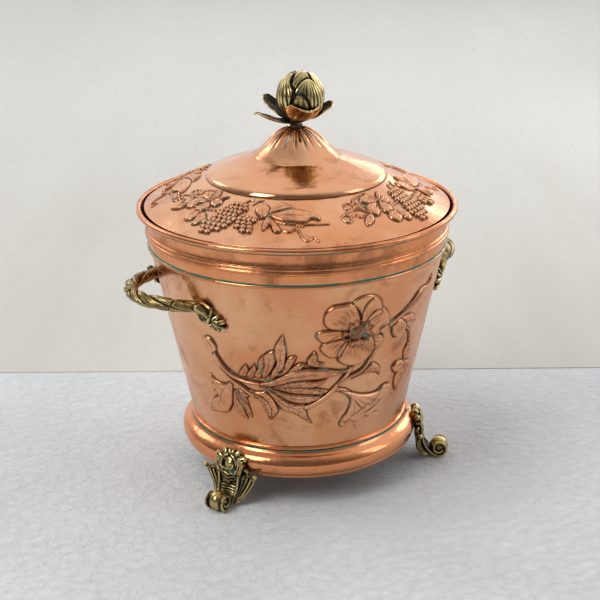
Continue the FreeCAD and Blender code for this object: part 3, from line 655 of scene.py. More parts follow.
def blurred(field, reach):
    """A soft average over a few cells, wrapping round in the columns."""
    out = field
    for _ in range(2):
        out = sum(np.roll(out, k, 1) for k in range(-reach, reach + 1)) / (2 * reach + 1)
        padded = np.pad(out, ((reach, reach), (0, 0)), mode="edge")
        out = sum(padded[k:k + len(out)] for k in range(2 * reach + 1)) / (2 * reach + 1)
    return out


def patina_and_shade(height, lines, reach):
    """Darkness from the relief itself: painted shade in its hollows, none on its high places, a halo of brown
    patina round it, chased lines darkest.
    """
    # painted shade: the relief's hollows darken by how far they sit below its blurred height
    hollow = np.clip((blurred(height, reach) - height - 0.1) / 1.1, 0, 1)
    halo = smoothstep(0.02, 0.25, blurred(lines, reach * 2))
    return np.clip(0.54 * lines + 0.3 * hollow + 0.14 * halo, 0, 1)


HAMMER_DEPTH = 0.1


def repeated(spray, columns, first, turns, bold, reach):
    """A spray's height, and its patina and painted shade, on the whole wrapped grid, with one spray at each
    turn in degrees.
    """
    height, dark = np.zeros((2, len(spray.height), columns))
    for turn in turns:
        at = (np.arange(spray.height.shape[1]) + first + round(turn / 360 * columns)) % columns
        height[:, at] += spray.height * bold
        dark[:, at] = np.maximum(dark[:, at], spray.dark)
    return height, patina_and_shade(height, dark, reach)


def hammered(height, seed, calm_from):
    """The relief with gentle unevenness, which dies away at the first and last rows."""
    waves = periodic_waves(height.shape[1], len(height), 40, np.random.default_rng(seed))
    rows = np.arange(len(height)) / (len(height) - 1)
    calm = smoothstep(0, 0.05, rows) * smoothstep(1, calm_from, rows)
    return height + HAMMER_DEPTH * waves * calm[:, None]


LID_EMBOSS = 1.05  # how much bolder than drawn the lid's sprays stand out
WALL_COLUMNS, WALL_ROWS = 1280, 288
SPRAY_U0, SPRAY_U1 = -176.0, 100.0
BACK_TURN = 205.0  # degrees between the front spray and the one behind
BACK_REACH = 6  # grid steps over which the wall's inner face smooths the relief


def wall_piece():
    step_u = 360.0 / WALL_COLUMNS * SPRAY_SCALE
    step_v = (WALL_HIGH_Z - WALL_LOW_Z) / WALL_ROWS
    first = round(SPRAY_U0 / step_u)
    columns = round((SPRAY_U1 - SPRAY_U0) / step_u)
    spray = flower_spray(step_u, step_v, columns, WALL_ROWS + 1, first * step_u, WALL_LOW_Z + SPRAY_DROP)
    height, dark = repeated(spray, WALL_COLUMNS, first, (0.0, BACK_TURN), 1.0, 4)
    shown = hammered(height, 11, 0.95)
    theta = round_angles(WALL_COLUMNS)
    z = WALL_LOW_Z + np.arange(WALL_ROWS + 1) / WALL_ROWS * (WALL_HIGH_Z - WALL_LOW_Z)
    r = WALL_LOW_R + (z - WALL_LOW_Z) * WALL_SLOPE
    points = polar(theta, r[:, None] + shown, z[:, None] - WALL_SLOPE * shown)
    hoop = [(HOOP_R, WALL_HIGH_Z + 1), (HOOP_R, HOOP_TOP_Z), (HOOP_R - SHEET, HOOP_TOP_Z),
            (HOOP_R - SHEET, WALL_HIGH_Z + 1)]
    hidden = height
    for axis in (1, 0):
        hidden = np.minimum.reduce([np.roll(hidden, k, axis) for k in range(-BACK_REACH, BACK_REACH + 1)])
    j = np.arange(WALL_ROWS - 2, -1, -4)
    hollow = np.clip(hidden[j, ::COARSE // 2], 0, None)
    inner = polar(theta[::COARSE // 2], r[j][:, None] - SHEET + hollow * 0.9, z[j][:, None])
    back = np.concatenate([rings(WALL_COLUMNS // COARSE * 2, hoop), inner])
    return relief_sheet("bucket_wall_embossed", points, height, dark, 4.0, back, [0, 0, 0, 1] + [1] * len(j))


PAN_COLUMNS, PAN_ROWS = 1152, 96
GRAPES_U0, GRAPES_WIDE = -14.0, 200.0
GRAPE_TURNS = (-94.2, 0.0, 92.0, 180.0)  # degrees of each spray's own origin round the lid


def pan_profile(r):
    """Height of the lid's pan at a radius: the same shallow arc as the CAD pan."""
    mid_r, mid_z = (PAN_EDGE_R + DOME_R) / 2, (PAN_EDGE_Z + DOME_Z) / 2
    half = (PAN_EDGE_R - DOME_R) / 2
    slope = (DOME_Z - PAN_EDGE_Z) / (PAN_EDGE_R - DOME_R)
    return mid_z + (mid_r - r) * slope + 1.2 * (1 - ((r - mid_r) / half) ** 2)


def pan_piece():
    step_u = TAU * LID_SCALE_R / PAN_COLUMNS
    step_v = (PAN_EDGE_R - PAN_INNER_R) / PAN_ROWS
    first = round(GRAPES_U0 / step_u)
    columns = round(GRAPES_WIDE / step_u)
    spray = grape_spray(step_u, -step_v, columns, PAN_ROWS + 1, first * step_u, PAN_EDGE_R)
    height, dark = repeated(spray, PAN_COLUMNS, first, GRAPE_TURNS, LID_EMBOSS, 3)
    shown = hammered(height, 12, 0.93)
    r = PAN_EDGE_R - np.arange(PAN_ROWS + 1) / PAN_ROWS * (PAN_EDGE_R - PAN_INNER_R)
    z = pan_profile(r)
    slope = np.gradient(z, r)
    lift = 1 / np.sqrt(1 + slope ** 2)
    points = polar(round_angles(PAN_COLUMNS), r[:, None] - (slope * lift)[:, None] * shown,
                   z[:, None] + lift[:, None] * shown)
    skirt_r = PAN_EDGE_R - LID_SHEET
    under = [(rr, pan_profile(rr) - LID_SHEET) for rr in (PAN_INNER_R, 100, 110, 120, 130, 140, 150)]
    under += [(skirt_r, PAN_EDGE_Z - LID_SHEET), (skirt_r, PAN_FOOT_Z), (PAN_EDGE_R, PAN_FOOT_Z),
              (PAN_EDGE_R, PAN_EDGE_Z - 0.8)]
    back = rings(PAN_COLUMNS // COARSE * 2, under)
    return relief_sheet("lid_pan_embossed", points, height, dark, 3.0, back, [1] * 9 + [0, 0])


# ---- the lid's dome ----
DOME_PROFILE = ((93.3, 316.2), (93.0, 318.3), (90.8, 321.3), (86.0, 323.6), (80.0, 325.7), (70.0, 329.2),
                (60.0, 332.6), (52.0, 335.3), (46.2, 337.2), (43.4, 339.3), (38.2, 343.9), (29.0, 353.2),
                (22.5, 359.2), (15.0, 364.0), (9.5, 366.2))
DOME_COLUMNS, DOME_STEPS = 360, 12


def pleat(theta, z):
    """The pleats gathered round the top of the dome's cone: where they are, their folds, and finer ones."""
    high = smoothstep(344, 362, z)
    fold = np.sin(17 * theta + 1.3 * np.sin(3 * theta) + 0.05 * (z - 340))
    fine = np.sin(31 * theta + 1.7 * np.sin(2 * theta + 1))
    return high, fold, fine


def dome_lift(theta, r, z):
    high, fold, fine = pleat(theta, z)
    dent = 0.18 * np.sin(5 * theta + 0.09 * r) + 0.14 * np.sin(8 * theta - 0.13 * r + 2)
    far = smoothstep(0, 12, DOME_PROFILE[0][0] - r)
    return high * (0.55 * fold + 0.3 * fine) - 0.6 * high + dent * far


def dome_dark(theta, z):
    high, fold, fine = pleat(theta, z)
    # painted shade in the creases of the pleats; the seam is a dark joint line at the dome's foot
    crease = smoothstep(0.35, 1.0, -fold) * 0.8 + smoothstep(0.6, 1.0, -fine) * 0.4
    seam = bell_curve(z - DOME_PROFILE[0][1], 1.4) * 0.8
    return np.clip(high * crease + seam, 0, 1)


def dome_piece():
    """The lid's dome: a closed turned shell with its outer surface pushed in and out."""
    line = spline(DOME_PROFILE, False, DOME_STEPS)
    tangent = unit(np.gradient(line, axis=0))
    out_r, out_z = tangent[:, 1:], -tangent[:, :1]
    theta, r = np.meshgrid(round_angles(DOME_COLUMNS), line[:, 0])
    z = np.repeat(line[:, 1:], DOME_COLUMNS, 1)
    push = dome_lift(theta, r, z)
    outer = polar(theta, r + out_r * push, z + out_z * push)
    inner = polar(theta, r - out_r * LID_SHEET, z - out_z * LID_SHEET)
    grid = np.concatenate([outer, inner[::-1]])
    ids = np.arange(2 * r.size).reshape(grid.shape[:2])
    plain = np.zeros(r.size)
    floats = {"dark": np.concatenate([dome_dark(theta, z).ravel(), plain]),
              "inside": np.concatenate([plain, plain + 1])}
    return quad_mesh("lid_dome_spun", grid.reshape(-1, 3), turned_quads(ids, True), floats)


# ---- the turned rim collar ----
COLLAR_LOW_Z, LEDGE_LOW_Z, LEDGE_Z = 249.4, 282.3, 283.5
ROLL_R, ROLL_Z, ROLL_RADIUS, WIRE_HOLE = 163.0, 286.0, 2.7, 1.7
COLLAR_COLUMNS = 640


def arc(a, middle, b, steps=7):
    """Points of the circle's arc from a through the middle point to b."""
    a, m, b = np.array(a), np.array(middle), np.array(b)
    sides = 2 * np.array([m - a, b - a])
    centre = np.linalg.solve(sides, [m @ m - a @ a, b @ b - a @ a])
    radius = np.linalg.norm(a - centre)
    start, through, end = (math.atan2(*(point - centre)[::-1]) for point in (a, m, b))
    through = start + (through - start) % TAU
    end = start + (end - start) % TAU
    if through > end:
        end -= TAU
    turn = np.linspace(start, end, steps)
    return list(zip(centre[0] + radius * np.cos(turn), centre[1] + radius * np.sin(turn)))


def collar_section():
    """The collar's section in r and z: a band, a fine bead, a hollow, then the ledge and rolled rim."""
    r = 154.3
    outline = [(HOOP_R, COLLAR_LOW_Z), (r - 0.3, COLLAR_LOW_Z), (r, COLLAR_LOW_Z + 0.3),
               (r, COLLAR_LOW_Z + 0.7), (r + 0.45, 254.3), (r, 258.9), (r + 0.1, 259.3)]
    outline += arc((r + 1.6, 259.9), (r + 3.2, 261.9), (r + 1.8, 263.7))
    outline += arc((r + 1.8, 263.75), (r + 3.0, 265.7), (r + 1.2, 267.6))
    outline += arc((r + 1.2, 267.65), (r + 0.2, 274.3), (r + 0.8, LEDGE_LOW_Z - 1.2), 12)
    outline += [(r + 1.3, LEDGE_LOW_Z - 0.4), (r + 2.4, LEDGE_LOW_Z), (ROLL_R, LEDGE_LOW_Z)]
    foot = math.asin((ROLL_Z - LEDGE_Z) / ROLL_RADIUS)
    turn = np.linspace(-math.pi / 2, math.pi + foot, 34)
    outline += list(zip(ROLL_R + ROLL_RADIUS * np.cos(turn), ROLL_Z + ROLL_RADIUS * np.sin(turn)))
    outline.append((HOOP_R, LEDGE_Z))
    return np.array(outline)


def collar_piece():
    """The rim collar turned from its section, hollow where the wire runs in its roll."""
    turn = np.linspace(0, -TAU, 25)[:-1]
    hole = np.column_stack([ROLL_R + WIRE_HOLE * np.cos(turn), ROLL_Z + WIRE_HOLE * np.sin(turn)])
    points, faces = [], []
    base = 0
    for section in (collar_section(), hole):
        ids = base + np.arange(len(section) * COLLAR_COLUMNS).reshape(-1, COLLAR_COLUMNS)
        base += ids.size
        points.append(rings(COLLAR_COLUMNS, section).reshape(-1, 3))
        faces.append(turned_quads(ids, True))
    return quad_mesh("rim_collar_turned", np.concatenate(points), np.concatenate(faces), {})


# ---- castings drawn as distance fields ----
def meld(a, b, blend):
    """Union of two fields with a soft joint of about the given width."""
    h = np.clip(0.5 + 0.5 * (b - a) / blend, 0, 1)
    return b * (1 - h) + a * h - blend * h * (1 - h)


def carve(a, b, blend):
    """Field a with b taken away, its edge softened."""
    return -meld(-a, b, blend)


def rod(p, line, radii):
    """A chain of tapering rounded links along points in space."""
    line = np.asarray(line, dtype=float)
    radii = np.interp(np.linspace(0, 1, len(line)), np.linspace(0, 1, len(radii)), radii)
    best = np.full(len(p), 1e9)
    for a, b, ra, rb in zip(line[:-1], line[1:], radii[:-1], radii[1:]):
        d = b - a
        t = np.clip(((p - a) @ d) / (d @ d), 0, 1)
        best = np.minimum(best, np.linalg.norm(p - a - t[:, None] * d, axis=1) - (ra + (rb - ra) * t))
    return best


def ball(p, centre, radii):
    """An ellipsoid, close enough to a true distance near its surface."""
    radii = np.asarray(radii, dtype=float)
    q = (p - np.asarray(centre, dtype=float)) / radii
    length = np.linalg.norm(q, axis=1)
    return (length - 1) * length / np.maximum(np.linalg.norm(q / radii, axis=1), 1e-6)


def strip(p, line, thick, widths):
    """A band following a line in the YZ plane, with a half-thickness and half-widths along X."""
    d, along = path_distance(p[:, 1], p[:, 2], np.asarray(line, dtype=float))
    width = np.interp(along, np.linspace(0, 1, len(widths)), widths)
    half = np.interp(along, np.linspace(0, 1, len(thick)), thick)
    round_by = 0.9
    q1, q2 = d - half + round_by, np.abs(p[:, 0]) - width + round_by
    return np.hypot(np.maximum(q1, 0), np.maximum(q2, 0)) + np.minimum(np.maximum(q1, q2), 0) - round_by


def sample_field(field, low, counts, step):
    """The field on a grid. Blocks of cells far from its surface get only the value at their middle."""
    block = 6
    blocks = [-(-c // block) for c in counts]
    corner = np.stack(np.meshgrid(*[block * np.arange(b) for b in blocks], indexing="ij"), -1).reshape(-1, 3)
    middle = field(low + step * (corner + (block - 1) / 2))
    value = np.repeat(middle, block ** 3).reshape(*blocks, block, block, block)
    near = np.abs(middle) < 1.5 * block * step
    inner = np.stack(np.meshgrid(*[np.arange(block)] * 3, indexing="ij"), -1).reshape(-1, 3)
    points = (corner[near][:, None] + inner).reshape(-1, 3)
    sampled = [field(low + step * part) for part in np.array_split(points, 1 + len(points) // 300000)]
    value.reshape(-1, block ** 3)[near] = np.concatenate(sampled).reshape(-1, block ** 3)
    value = value.transpose(0, 3, 1, 4, 2, 5).reshape([b * block for b in blocks])
    return value[:counts[0], :counts[1], :counts[2]]


def close_saddles(value):
    """Fills the grid squares whose inside corners meet only diagonally, so that no edge joins four faces."""
    found = True
    while found:
        found = False
        for axes in ((0, 1), (0, 2), (1, 2)):
            corners = []
            for shift in ((0, 0), (1, 0), (1, 1), (0, 1)):
                part = [slice(None)] * 3
                for axis, moved in zip(axes, shift):
                    part[axis] = slice(1, None) if moved else slice(0, -1)
                corners.append(value[tuple(part)])
            a, b, c, d = (corner < 0 for corner in corners)
            saddle = (a == c) & (b == d) & (a != b)
            for corner in corners:
                corner[saddle] = np.minimum(corner[saddle], -0.01)
            found = found or bool(saddle.any())


def net_mesh(field, low, high, step):
    """Points and quads of the surface where a field is zero, by averaging its crossings in each cell."""
    counts = [int(math.ceil((h - l) / step)) + 1 for l, h in zip(low, high)]
    value = sample_field(field, np.asarray(low), counts, step)
    close_saddles(value)
    inside = value < 0
    crossed = np.zeros([c - 1 for c in counts], dtype=bool)
    for i, j, k in np.ndindex(2, 2, 2):
        corner = inside[i:counts[0] - 1 + i, j:counts[1] - 1 + j, k:counts[2] - 1 + k]
        crossed |= corner != inside[:-1, :-1, :-1]
    cell = np.stack(np.nonzero(crossed), -1)
    index = np.full(crossed.shape, -1)
    index[tuple(cell.T)] = np.arange(len(cell))
    total = np.zeros((len(cell), 3))
    hits = np.zeros(len(cell))
    ways = np.eye(3, dtype=int)
    faces = []
    for axis in range(3):
        side = [k for k in range(3) if k != axis]
        for a, b in np.ndindex(2, 2):
            start = cell + a * ways[side[0]] + b * ways[side[1]]
            v0 = value[tuple(start.T)]
            v1 = value[tuple((start + ways[axis]).T)]
            cut = (v0 < 0) != (v1 < 0)
            t = np.where(cut, v0 / np.where(cut, v0 - v1, 1), 0)
            total += np.where(cut[:, None], start + t[:, None] * ways[axis], 0)
            hits += cut
        before = inside[tuple(slice(0, -1) if k == axis else slice(None) for k in range(3))]
        after = inside[tuple(slice(1, None) if k == axis else slice(None) for k in range(3))]
        edge = np.stack(np.nonzero(before != after), -1)
        edge = edge[(edge[:, side[0]] > 0) & (edge[:, side[1]] > 0)]
        ring = [index[tuple((edge - a * ways[side[0]] - b * ways[side[1]]).T)]
                for a, b in ((0, 0), (1, 0), (1, 1), (0, 1))]
        quad = np.stack(ring, -1)
        flip = before[tuple(edge.T)] != (axis != 1)
        quad[flip] = quad[flip][:, ::-1]
        faces.append(quad)
    points = np.asarray(low) + step * total / hits[:, None]
    return points, np.concatenate(faces)


def gradient(field, p, h):
    parts = []
    for axis in range(3):
        shift = np.zeros(3)
        shift[axis] = h
        parts.append((field(p + shift) - field(p - shift)) / (2 * h))
    return np.stack(parts, -1)


def casting_data(field, low, high, step):
    """Mesh data of a casting: points pulled onto its surface, normals, and how much painted shade each place
    gets, less on thin ridges.
    """
    points, quads = net_mesh(field, low, high, step)
    for _ in range(2):
        g = gradient(field, points, 0.15)
        size = np.maximum((g * g).sum(1), 0.2)
        move = (field(points) / size)[:, None] * g
        points = points - np.clip(move, -step * 0.5, step * 0.5)
    normal = gradient(field, points, 0.25)
    normal /= np.maximum(np.linalg.norm(normal, axis=1, keepdims=True), 1e-9)
    # painted shade by how little open sky each place sees, and a painted highlight that lightens thin ridges
    open_sky = 0
    for reach, weight in ((0.8, 0.4), (2.0, 0.35), (4.5, 0.25)):
        open_sky = open_sky + weight * np.clip(field(points + normal * reach) / reach, 0, 1)
    ridge = 1 - np.clip(-field(points - normal * 1.1) / 1.1, 0, 1)
    return points, quads, normal, np.clip(0.22 + 1.7 * (1 - open_sky) - 0.9 * ridge, 0, 1)


def joined(d, p, forms):
    """A field with more forms melded on, each a kind, its place, its radii and how soft its joint is."""
    for kind, place, radii, blend in forms:
        d = meld(d, kind(p, place, radii), blend)
    return d


def casting(node, data, turn, material):
    """One copy of a casting on the bucket, turned about the bucket's axis."""
    points, quads, normal, hollow = data
    c, s = math.cos(turn), math.sin(turn)
    spin = np.array([[c, -s, 0], [s, c, 0], [0, 0, 1]])
    piece = quad_mesh(node + "_cast", points @ spin.T, quads, {"hollow": hollow}, normal @ spin.T)
    finished(piece, material, "bucket", "brass", node)


# ---- the scroll foot ----
RING_PROFILE = ((31.5, 122.6), (34.2, 124.0), (36.0, 124.2), (41.5, 126.0), (49.0, 123.6), (53.6, 119.4),
                (57.9, 115.7), (64.0, 116.4))
LEG = ((121.5, 50.5), (126.0, 49.5), (130.0, 46), (131.8, 40), (131.4, 33), (130.6, 27), (131.0, 21),
       (133.5, 14.5), (138.5, 8.4), (145.0, 4.2), (150.0, 2.4))
VOLUTE = (153.3, 10.2)
FOOT_ANGLES = {"foot_left": -57.5, "foot_right": 62.5, "foot_rear": 182.5}


SCROLL_POINTS = 36
SOLE_LOW_Z = 0.02

# the raised edge from the flank scroll down into the scroll's rings
EDGE = [(11.6, 134.0, 31), (11.4, 134.6, 26), (10.9, 135.2, 20.5), (10.3, 137.2, 14.2), (9.9, 141.2, 8.4),
        (9.6, 146.4, 4.2), (9.6, 151.0, 1.9)]
FOLD_ROWS = ((34.6, 10.5, 1.35), (31.0, 9.8, 1.3), (27.6, 9.0, 1.2))  # height, reach, thickness
TONGUE_ROWS = (19.6, 16.8, 14.0)  # heights of the leafy tongue's folds on the ankle

# the web behind the flank scrolls, the rolled ears, and the leafy wings below them with their ribs
WINGS = (
    (ball, (15.4, 127.0, 33.4), (5.4, 1.8, 5.6), 0.5),
    (ball, (16.0, 129.6, 32.0), (1.5, 1.5, 1.7), 0.4),
    (rod, [(18, 128.0, 31), (24, 128.6, 31.6), (28.5, 130.6, 33.6)], (2.2, 1.8, 1.6), 0.8),
    (ball, (30.2, 131.6, 34.4), (2.7, 2.5, 2.3), 0.5),
    (ball, (27.4, 131.8, 31.4), (2.0, 1.8, 2.0), 0.4),
    (rod, [(25.4, 128.9, 30.5), (22.4, 129.0, 24), (18.8, 129.8, 16.8), (15.0, 133.6, 9.2),
           (11.4, 139.5, 4.6)], (2.6, 2.4, 1.8), 0.6),
    # this rod fills the gap between the wing and the body, where the hollow attribute paints it dark as shade
    (rod, [(17.5, 128.2, 29), (15.4, 128.8, 23), (13.8, 130.0, 16.5), (12.2, 134.4, 9.4)],
     (2.2, 2.0, 1.4), 0.4),
    (rod, [(29.6, 131, 32.0), (26.8, 129.6, 26), (22.4, 130, 18), (17.4, 133.5, 9.5), (12.4, 139, 4.2)],
     (1.4, 1.35, 1.1), 0.35),
    (rod, [(21.0, 131, 30.0), (18.0, 131.4, 24), (15.2, 132.2, 16.5), (12.9, 135.5, 9.6), (10.4, 141, 5.0)],
     (1.35, 1.3, 1.1), 0.35),
    (rod, [(25.4, 131.6, 30.5), (22.4, 131.6, 24), (18.8, 132.2, 16.8), (15.0, 135.6, 9.2)],
     (0.9, 0.9, 0.7), 0.3),
)


def foot_scroll(q):
    """The scroll: a barrel between two thin coiled rings, its ends sunk, with an eye in each."""
    turn = turns(-105, 330, SCROLL_POINTS)
    radius = np.linspace(8.9, 4.2, SCROLL_POINTS)
    ring = np.column_stack([np.full(SCROLL_POINTS, 9.6), VOLUTE[0] + radius * np.cos(turn),
                            VOLUTE[1] + radius * np.sin(turn)])
    core = np.maximum(ball(q, (0, *VOLUTE), (30, 7.6, 7.6)), q[:, 0] - 8.6)
    barrel = ball(q, (0, *VOLUTE), (9.4, 10.1, 10.1))
    eye = rod(q, [(0, *VOLUTE), (8.4, *VOLUTE)], (3.2, 1.6))
    return meld(meld(np.minimum(core, rod(q, ring, (1.45, 1.35, 1.1, 0.9))), barrel, 0.6), eye, 0.6)


def cartouche(d, p, q):
    """A boss ringed by a deep groove that stays open on one side, with cuts round its rim."""
    d = meld(d, ball(q, (0, 127, 42.5), (12.5, 7.4, 10)), 2)
    turn = turns(48, 292, 16)
    groove = [-1.4 + 7.2 * np.cos(turn), 135.0 - 0.012 * (6.4 * np.sin(turn)) ** 2 - 0.8 * np.cos(turn) ** 2,
              42.6 + 7.0 * np.sin(turn)]
    d = carve(d, rod(p, np.stack(groove, -1), (0.8, 2.2, 2.1, 0.7)), 0.5)
    d = meld(d, ball(p, (-1.2, 132.2, 42.8), (5.0, 4.0, 5.0)), 0.5)
    comma = [(3.2, 135.0, 48.2), (6.2, 134.8, 45.2), (6.2, 134.8, 41.4), (3.0, 135.6, 38.6)]
    d = carve(d, rod(p, comma, (0.8, 2.7, 2.3, 0.7)), 0.5)
    lip = turns(-75, 75, 8)
    for way in (1, -1):
        rim = [way * 9.0 * np.cos(lip), 133.0 - 0.02 * (9 * np.sin(lip)) ** 2, 43.0 + 9.6 * np.sin(lip)]
        d = meld(d, rod(p, np.stack(rim, -1), (0.9, 1.5, 0.9)), 0.5)
    for side, top, low in ((13.6, 49.5, 37.5), (10.8, 38.5, 33.5), (16.4, 45.5, 39.0)):
        cut = [(side, 134.4, top), (side * 0.97, 135.2, (top + low) / 2), (side * 0.9, 134.8, low)]
        d = carve(d, rod(q, cut, (0.5, 1.2, 0.5)), 0.3)
    return d


def shell_crest(d, q):
    """The lobes of the shell above the cartouche, each with a cut along its middle."""
    for angle, reach in ((13, 8.4), (44, 11.4), (76, 16.2)):
        a = math.radians(angle)
        line = []
        for out in (6.5, 0.7 * reach + 1.6, reach):
            rise, side = out * math.cos(a), out * math.sin(a)
            line.append((side, 132.6 - 0.085 * max(rise, 0) ** 2 - 0.013 * side ** 2, 45.6 + rise))
        d = meld(d, rod(q, line, (1.2, 2.6, 3.2)), 0.3)
        tip = line[-1]
        cut = [(tip[0] * 0.72, line[1][1] + 2.6, line[1][2]), (tip[0], tip[1] + 2.6, tip[2])]
        d = carve(d, rod(q, cut, (0.4, 0.9)), 0.4)
    return d


def foot_field(p):
    """The foot facing +Y, where Y is the distance from the bucket's axis. Both halves are alike."""
    q = p.copy()
    q[:, 0] = np.abs(q[:, 0])
    d = strip(q, LEG, (3.4, 3.2, 2.6, 2.2, 1.6), (9, 15, 17.0, 15.4, 13.4, 12.0, 11.3, 10.6, 10.2, 10.0, 9.8))
    d = meld(meld(d, foot_scroll(q), 1.2), rod(q, EDGE, (1.5, 1.35, 1.3)), 0.4)
    for height, reach, swell in FOLD_ROWS:
        fold = [(0, 135.2, height - 2.6), (reach * 0.45, 134.8, height - 1.0),
                (reach * 0.8, 133.6, height - 1.2), (reach, 132.8, height + 0.6)]
        d = meld(d, rod(q, fold, (swell * 1.15, swell, swell * 0.7)), 0.5)
    d = meld(d, ball(q, (0, 134.2, 23.2), (2.6, 2.2, 2.2)), 0.5)
    for height in TONGUE_ROWS:
        front = 134.6 + 0.35 * (TONGUE_ROWS[0] - height)
        d = meld(d, rod(q, [(0, front, height), (8.6, front, height - 0.6)], (1.2, 0.9)), 0.5)
    d = shell_crest(cartouche(d, p, q), q)
    turn = turns(215, -95, 14)
    ring = [15.4 + 4.4 * np.cos(turn), 130.6 - 2.4 * np.cos(turn), 33.6 + 5.2 * np.sin(turn)]
    d = meld(d, rod(q, np.stack(ring, -1), (1.0, 1.4, 1.7)), 0.4)
    d = joined(d, q, WINGS)
    # the flat sole, and the seat against the plinth ring
    seat = np.interp(p[:, 2], *np.array(RING_PROFILE).T) - np.hypot(p[:, 0], p[:, 1])
    seat = np.where(p[:, 2] < RING_PROFILE[0][0], -1e3, seat)
    return np.maximum(np.maximum(d, seat), SOLE_LOW_Z - p[:, 2])


def feet(material):
    data = casting_data(foot_field, (-34.5, 113.0, -1.0), (34.5, 166.0, 60.5), 0.5)
    for node, angle in FOOT_ANGLES.items():
        casting(node, data, math.radians(angle + 180), material)


# ---- the rope handle ----
BOW_R, BOW_OUT_X, BOW_END_X, BOW_HALF = 50.5, 181.9, 162.0, 41.0
GRIP_TILT, GRIP_Z = 3.5, 216.0
LEAF_ANGLE, LEAF_Z, LEAF_SLOPE = 29.5, 204.5, 36.0
HANDLE_TURNS = {"handle_left": 180.5, "handle_right": 4.5}


def grip_line():
    """The middle line of half the grip, from its apex to the wall, in the plane Y >= 0."""
    centre_x = BOW_OUT_X - BOW_R
    heading = math.atan2(BOW_HALF, BOW_END_X - centre_x)
    points = [(centre_x + BOW_R * math.cos(a), BOW_R * math.sin(a)) for a in np.linspace(0, heading, 16)]
    end = points[-1]
    points += [(end[0] - math.sin(heading) * t, end[1] + math.cos(heading) * t) for t in range(8, 49, 8)]
    points = np.array(points)
    fall = math.tan(math.radians(GRIP_TILT)) * (points[:, 0] - BOW_OUT_X)
    return np.column_stack([points, GRIP_Z + fall])


def nearest_on(p, line):
    """Nearest points on a line in space: how far off, where, how far along, and which way the line runs."""
    best = np.full(len(p), 1e9)
    spot = np.zeros(p.shape)
    along = np.zeros(len(p))
    heading = np.zeros(p.shape)
    steps = np.linalg.norm(line[1:] - line[:-1], axis=1)
    reach = np.concatenate([[0], np.cumsum(steps)])
    for k, (a, b) in enumerate(zip(line[:-1], line[1:])):
        d = b - a
        t = np.clip(((p - a) @ d) / (d @ d), 0, 1)
        here = a + t[:, None] * d
        dist = np.linalg.norm(p - here, axis=1)
        nearer = dist < best
        best = np.where(nearer, dist, best)
        spot[nearer] = here[nearer]
        along = np.where(nearer, reach[k] + t * steps[k], along)
        heading[nearer] = d / steps[k]
    return best, spot, along, heading


def leaf_frame():
    """Middle of the leaf end on the wall, and its axes: down along the leaf, across it, and outwards."""
    a = math.radians(LEAF_ANGLE)
    lean = math.atan(WALL_SLOPE)
    r = WALL_LOW_R + (LEAF_Z - WALL_LOW_Z) * WALL_SLOPE
    middle = np.array([r * math.cos(a), r * math.sin(a), LEAF_Z])
    out = np.array([math.cos(a) * math.cos(lean), math.sin(a) * math.cos(lean), -math.sin(lean)])
    around = np.cross((0, 0, 1), out)
    around /= np.linalg.norm(around)
    up = np.cross(out, around)
    slope = math.radians(LEAF_SLOPE)
    along = around * math.cos(slope) - up * math.sin(slope)
    return middle, along, np.cross(out, along), out


GRIP_LINE = grip_line()


LEAF_NECK = [(-17, 4, 7.5), (-10, 4.5, 6.8), (-3, 2.5, 5.6)]
LEAF_KNOTS = (
    (ball, (-8.4, -3.0, 4.6), (2.2, 2.4, 2.2), 0.5),
    (rod, [(-3.5, 8.0, 2.5), (-1.0, 3.5, 5.8), (-1.0, -2.5, 6.2), (-3.0, -8.4, 3.0)],
     (1.6, 2.1, 2.0, 1.5), 0.5),
)
LEAF_LOBES = ((-68, 8.2), (-30, 12.0), (4, 14.4), (38, 12.2), (74, 8.6))  # direction and reach


def rope(q):
    """The twisted grip: three strands of fine threads, bound where it meets its leaf ends."""
    dist, spot, along, heading = nearest_on(q, GRIP_LINE)
    offset = q - spot
    angle = np.arctan2(offset[:, 2], (offset * unit(np.cross(heading, (0, 0, 1.0)))).sum(1))
    base = np.interp(along, (0, 12, 30, 52, 75, 92), (6.25, 6.5, 6.7, 6.5, 5.7, 5.8))
    twist = angle + TAU * (0.62 * (1 - np.exp(-along / 26)) + along / 170)
    lobe = np.abs(np.cos(1.5 * twist))
    strand = (lobe ** 0.6 - 0.85) * np.interp(smoothstep(34, 60, along), (0, 1), (0.45, 0.3))
    fine = 0.022 * np.cos(13 * twist) * smoothstep(0.25, 0.6, lobe)
    binding = bell_curve(along - 52 - 3.0 * np.sin(angle), 1.1)
    return (dist - base * (1 + strand + fine - 0.13 * binding)) * 0.85


def leaf_end(leaf):
    """The leaf end in its own axes: down along it, across it, and outwards."""
    d = meld(ball(leaf, (-1, 0, 0.5), (15.0, 8.6, 4.6)), rod(leaf, LEAF_NECK, (3.6, 3.2, 2.4)), 1.5)
    turn = turns(80, 370, 14)
    curl = np.stack([-8.5 + 4.8 * np.cos(turn), -3.0 + 5.2 * np.sin(turn), 5.0 + 0.6 * np.cos(turn)], -1)
    d = joined(meld(d, rod(leaf, curl, (1.5, 1.8, 1.4)), 0.5), leaf, LEAF_KNOTS)
    for angle, reach in LEAF_LOBES:
        a = math.radians(angle)
        x, y, lift = 1.5 + reach * math.cos(a), reach * math.sin(a) * 0.86, 3.4 - 0.05 * reach
        lobe = [(1.5, 0.4 * y, 4.0), (0.6 * x + 0.6, 0.65 * y, lift + 1.6), (x, y, lift - 1.0)]
        d = meld(d, rod(leaf, lobe, (1.6, 2.5, 2.5)), 0.4)
        cut = [(0.55 * x + 1.5, 0.6 * y, lift + 4.0), (0.9 * x, 0.9 * y, lift + 1.9)]
        d = carve(d, rod(leaf, cut, (0.7, 1.0)), 0.5)
    for x, y in ((5.6, 2.7), (6.0, -3.4), (-12.6, 0.5)):
        d = carve(d, ball(leaf, (x, y, 6.2), (1.7, 1.3, 2.6)), 0.6)
    return d


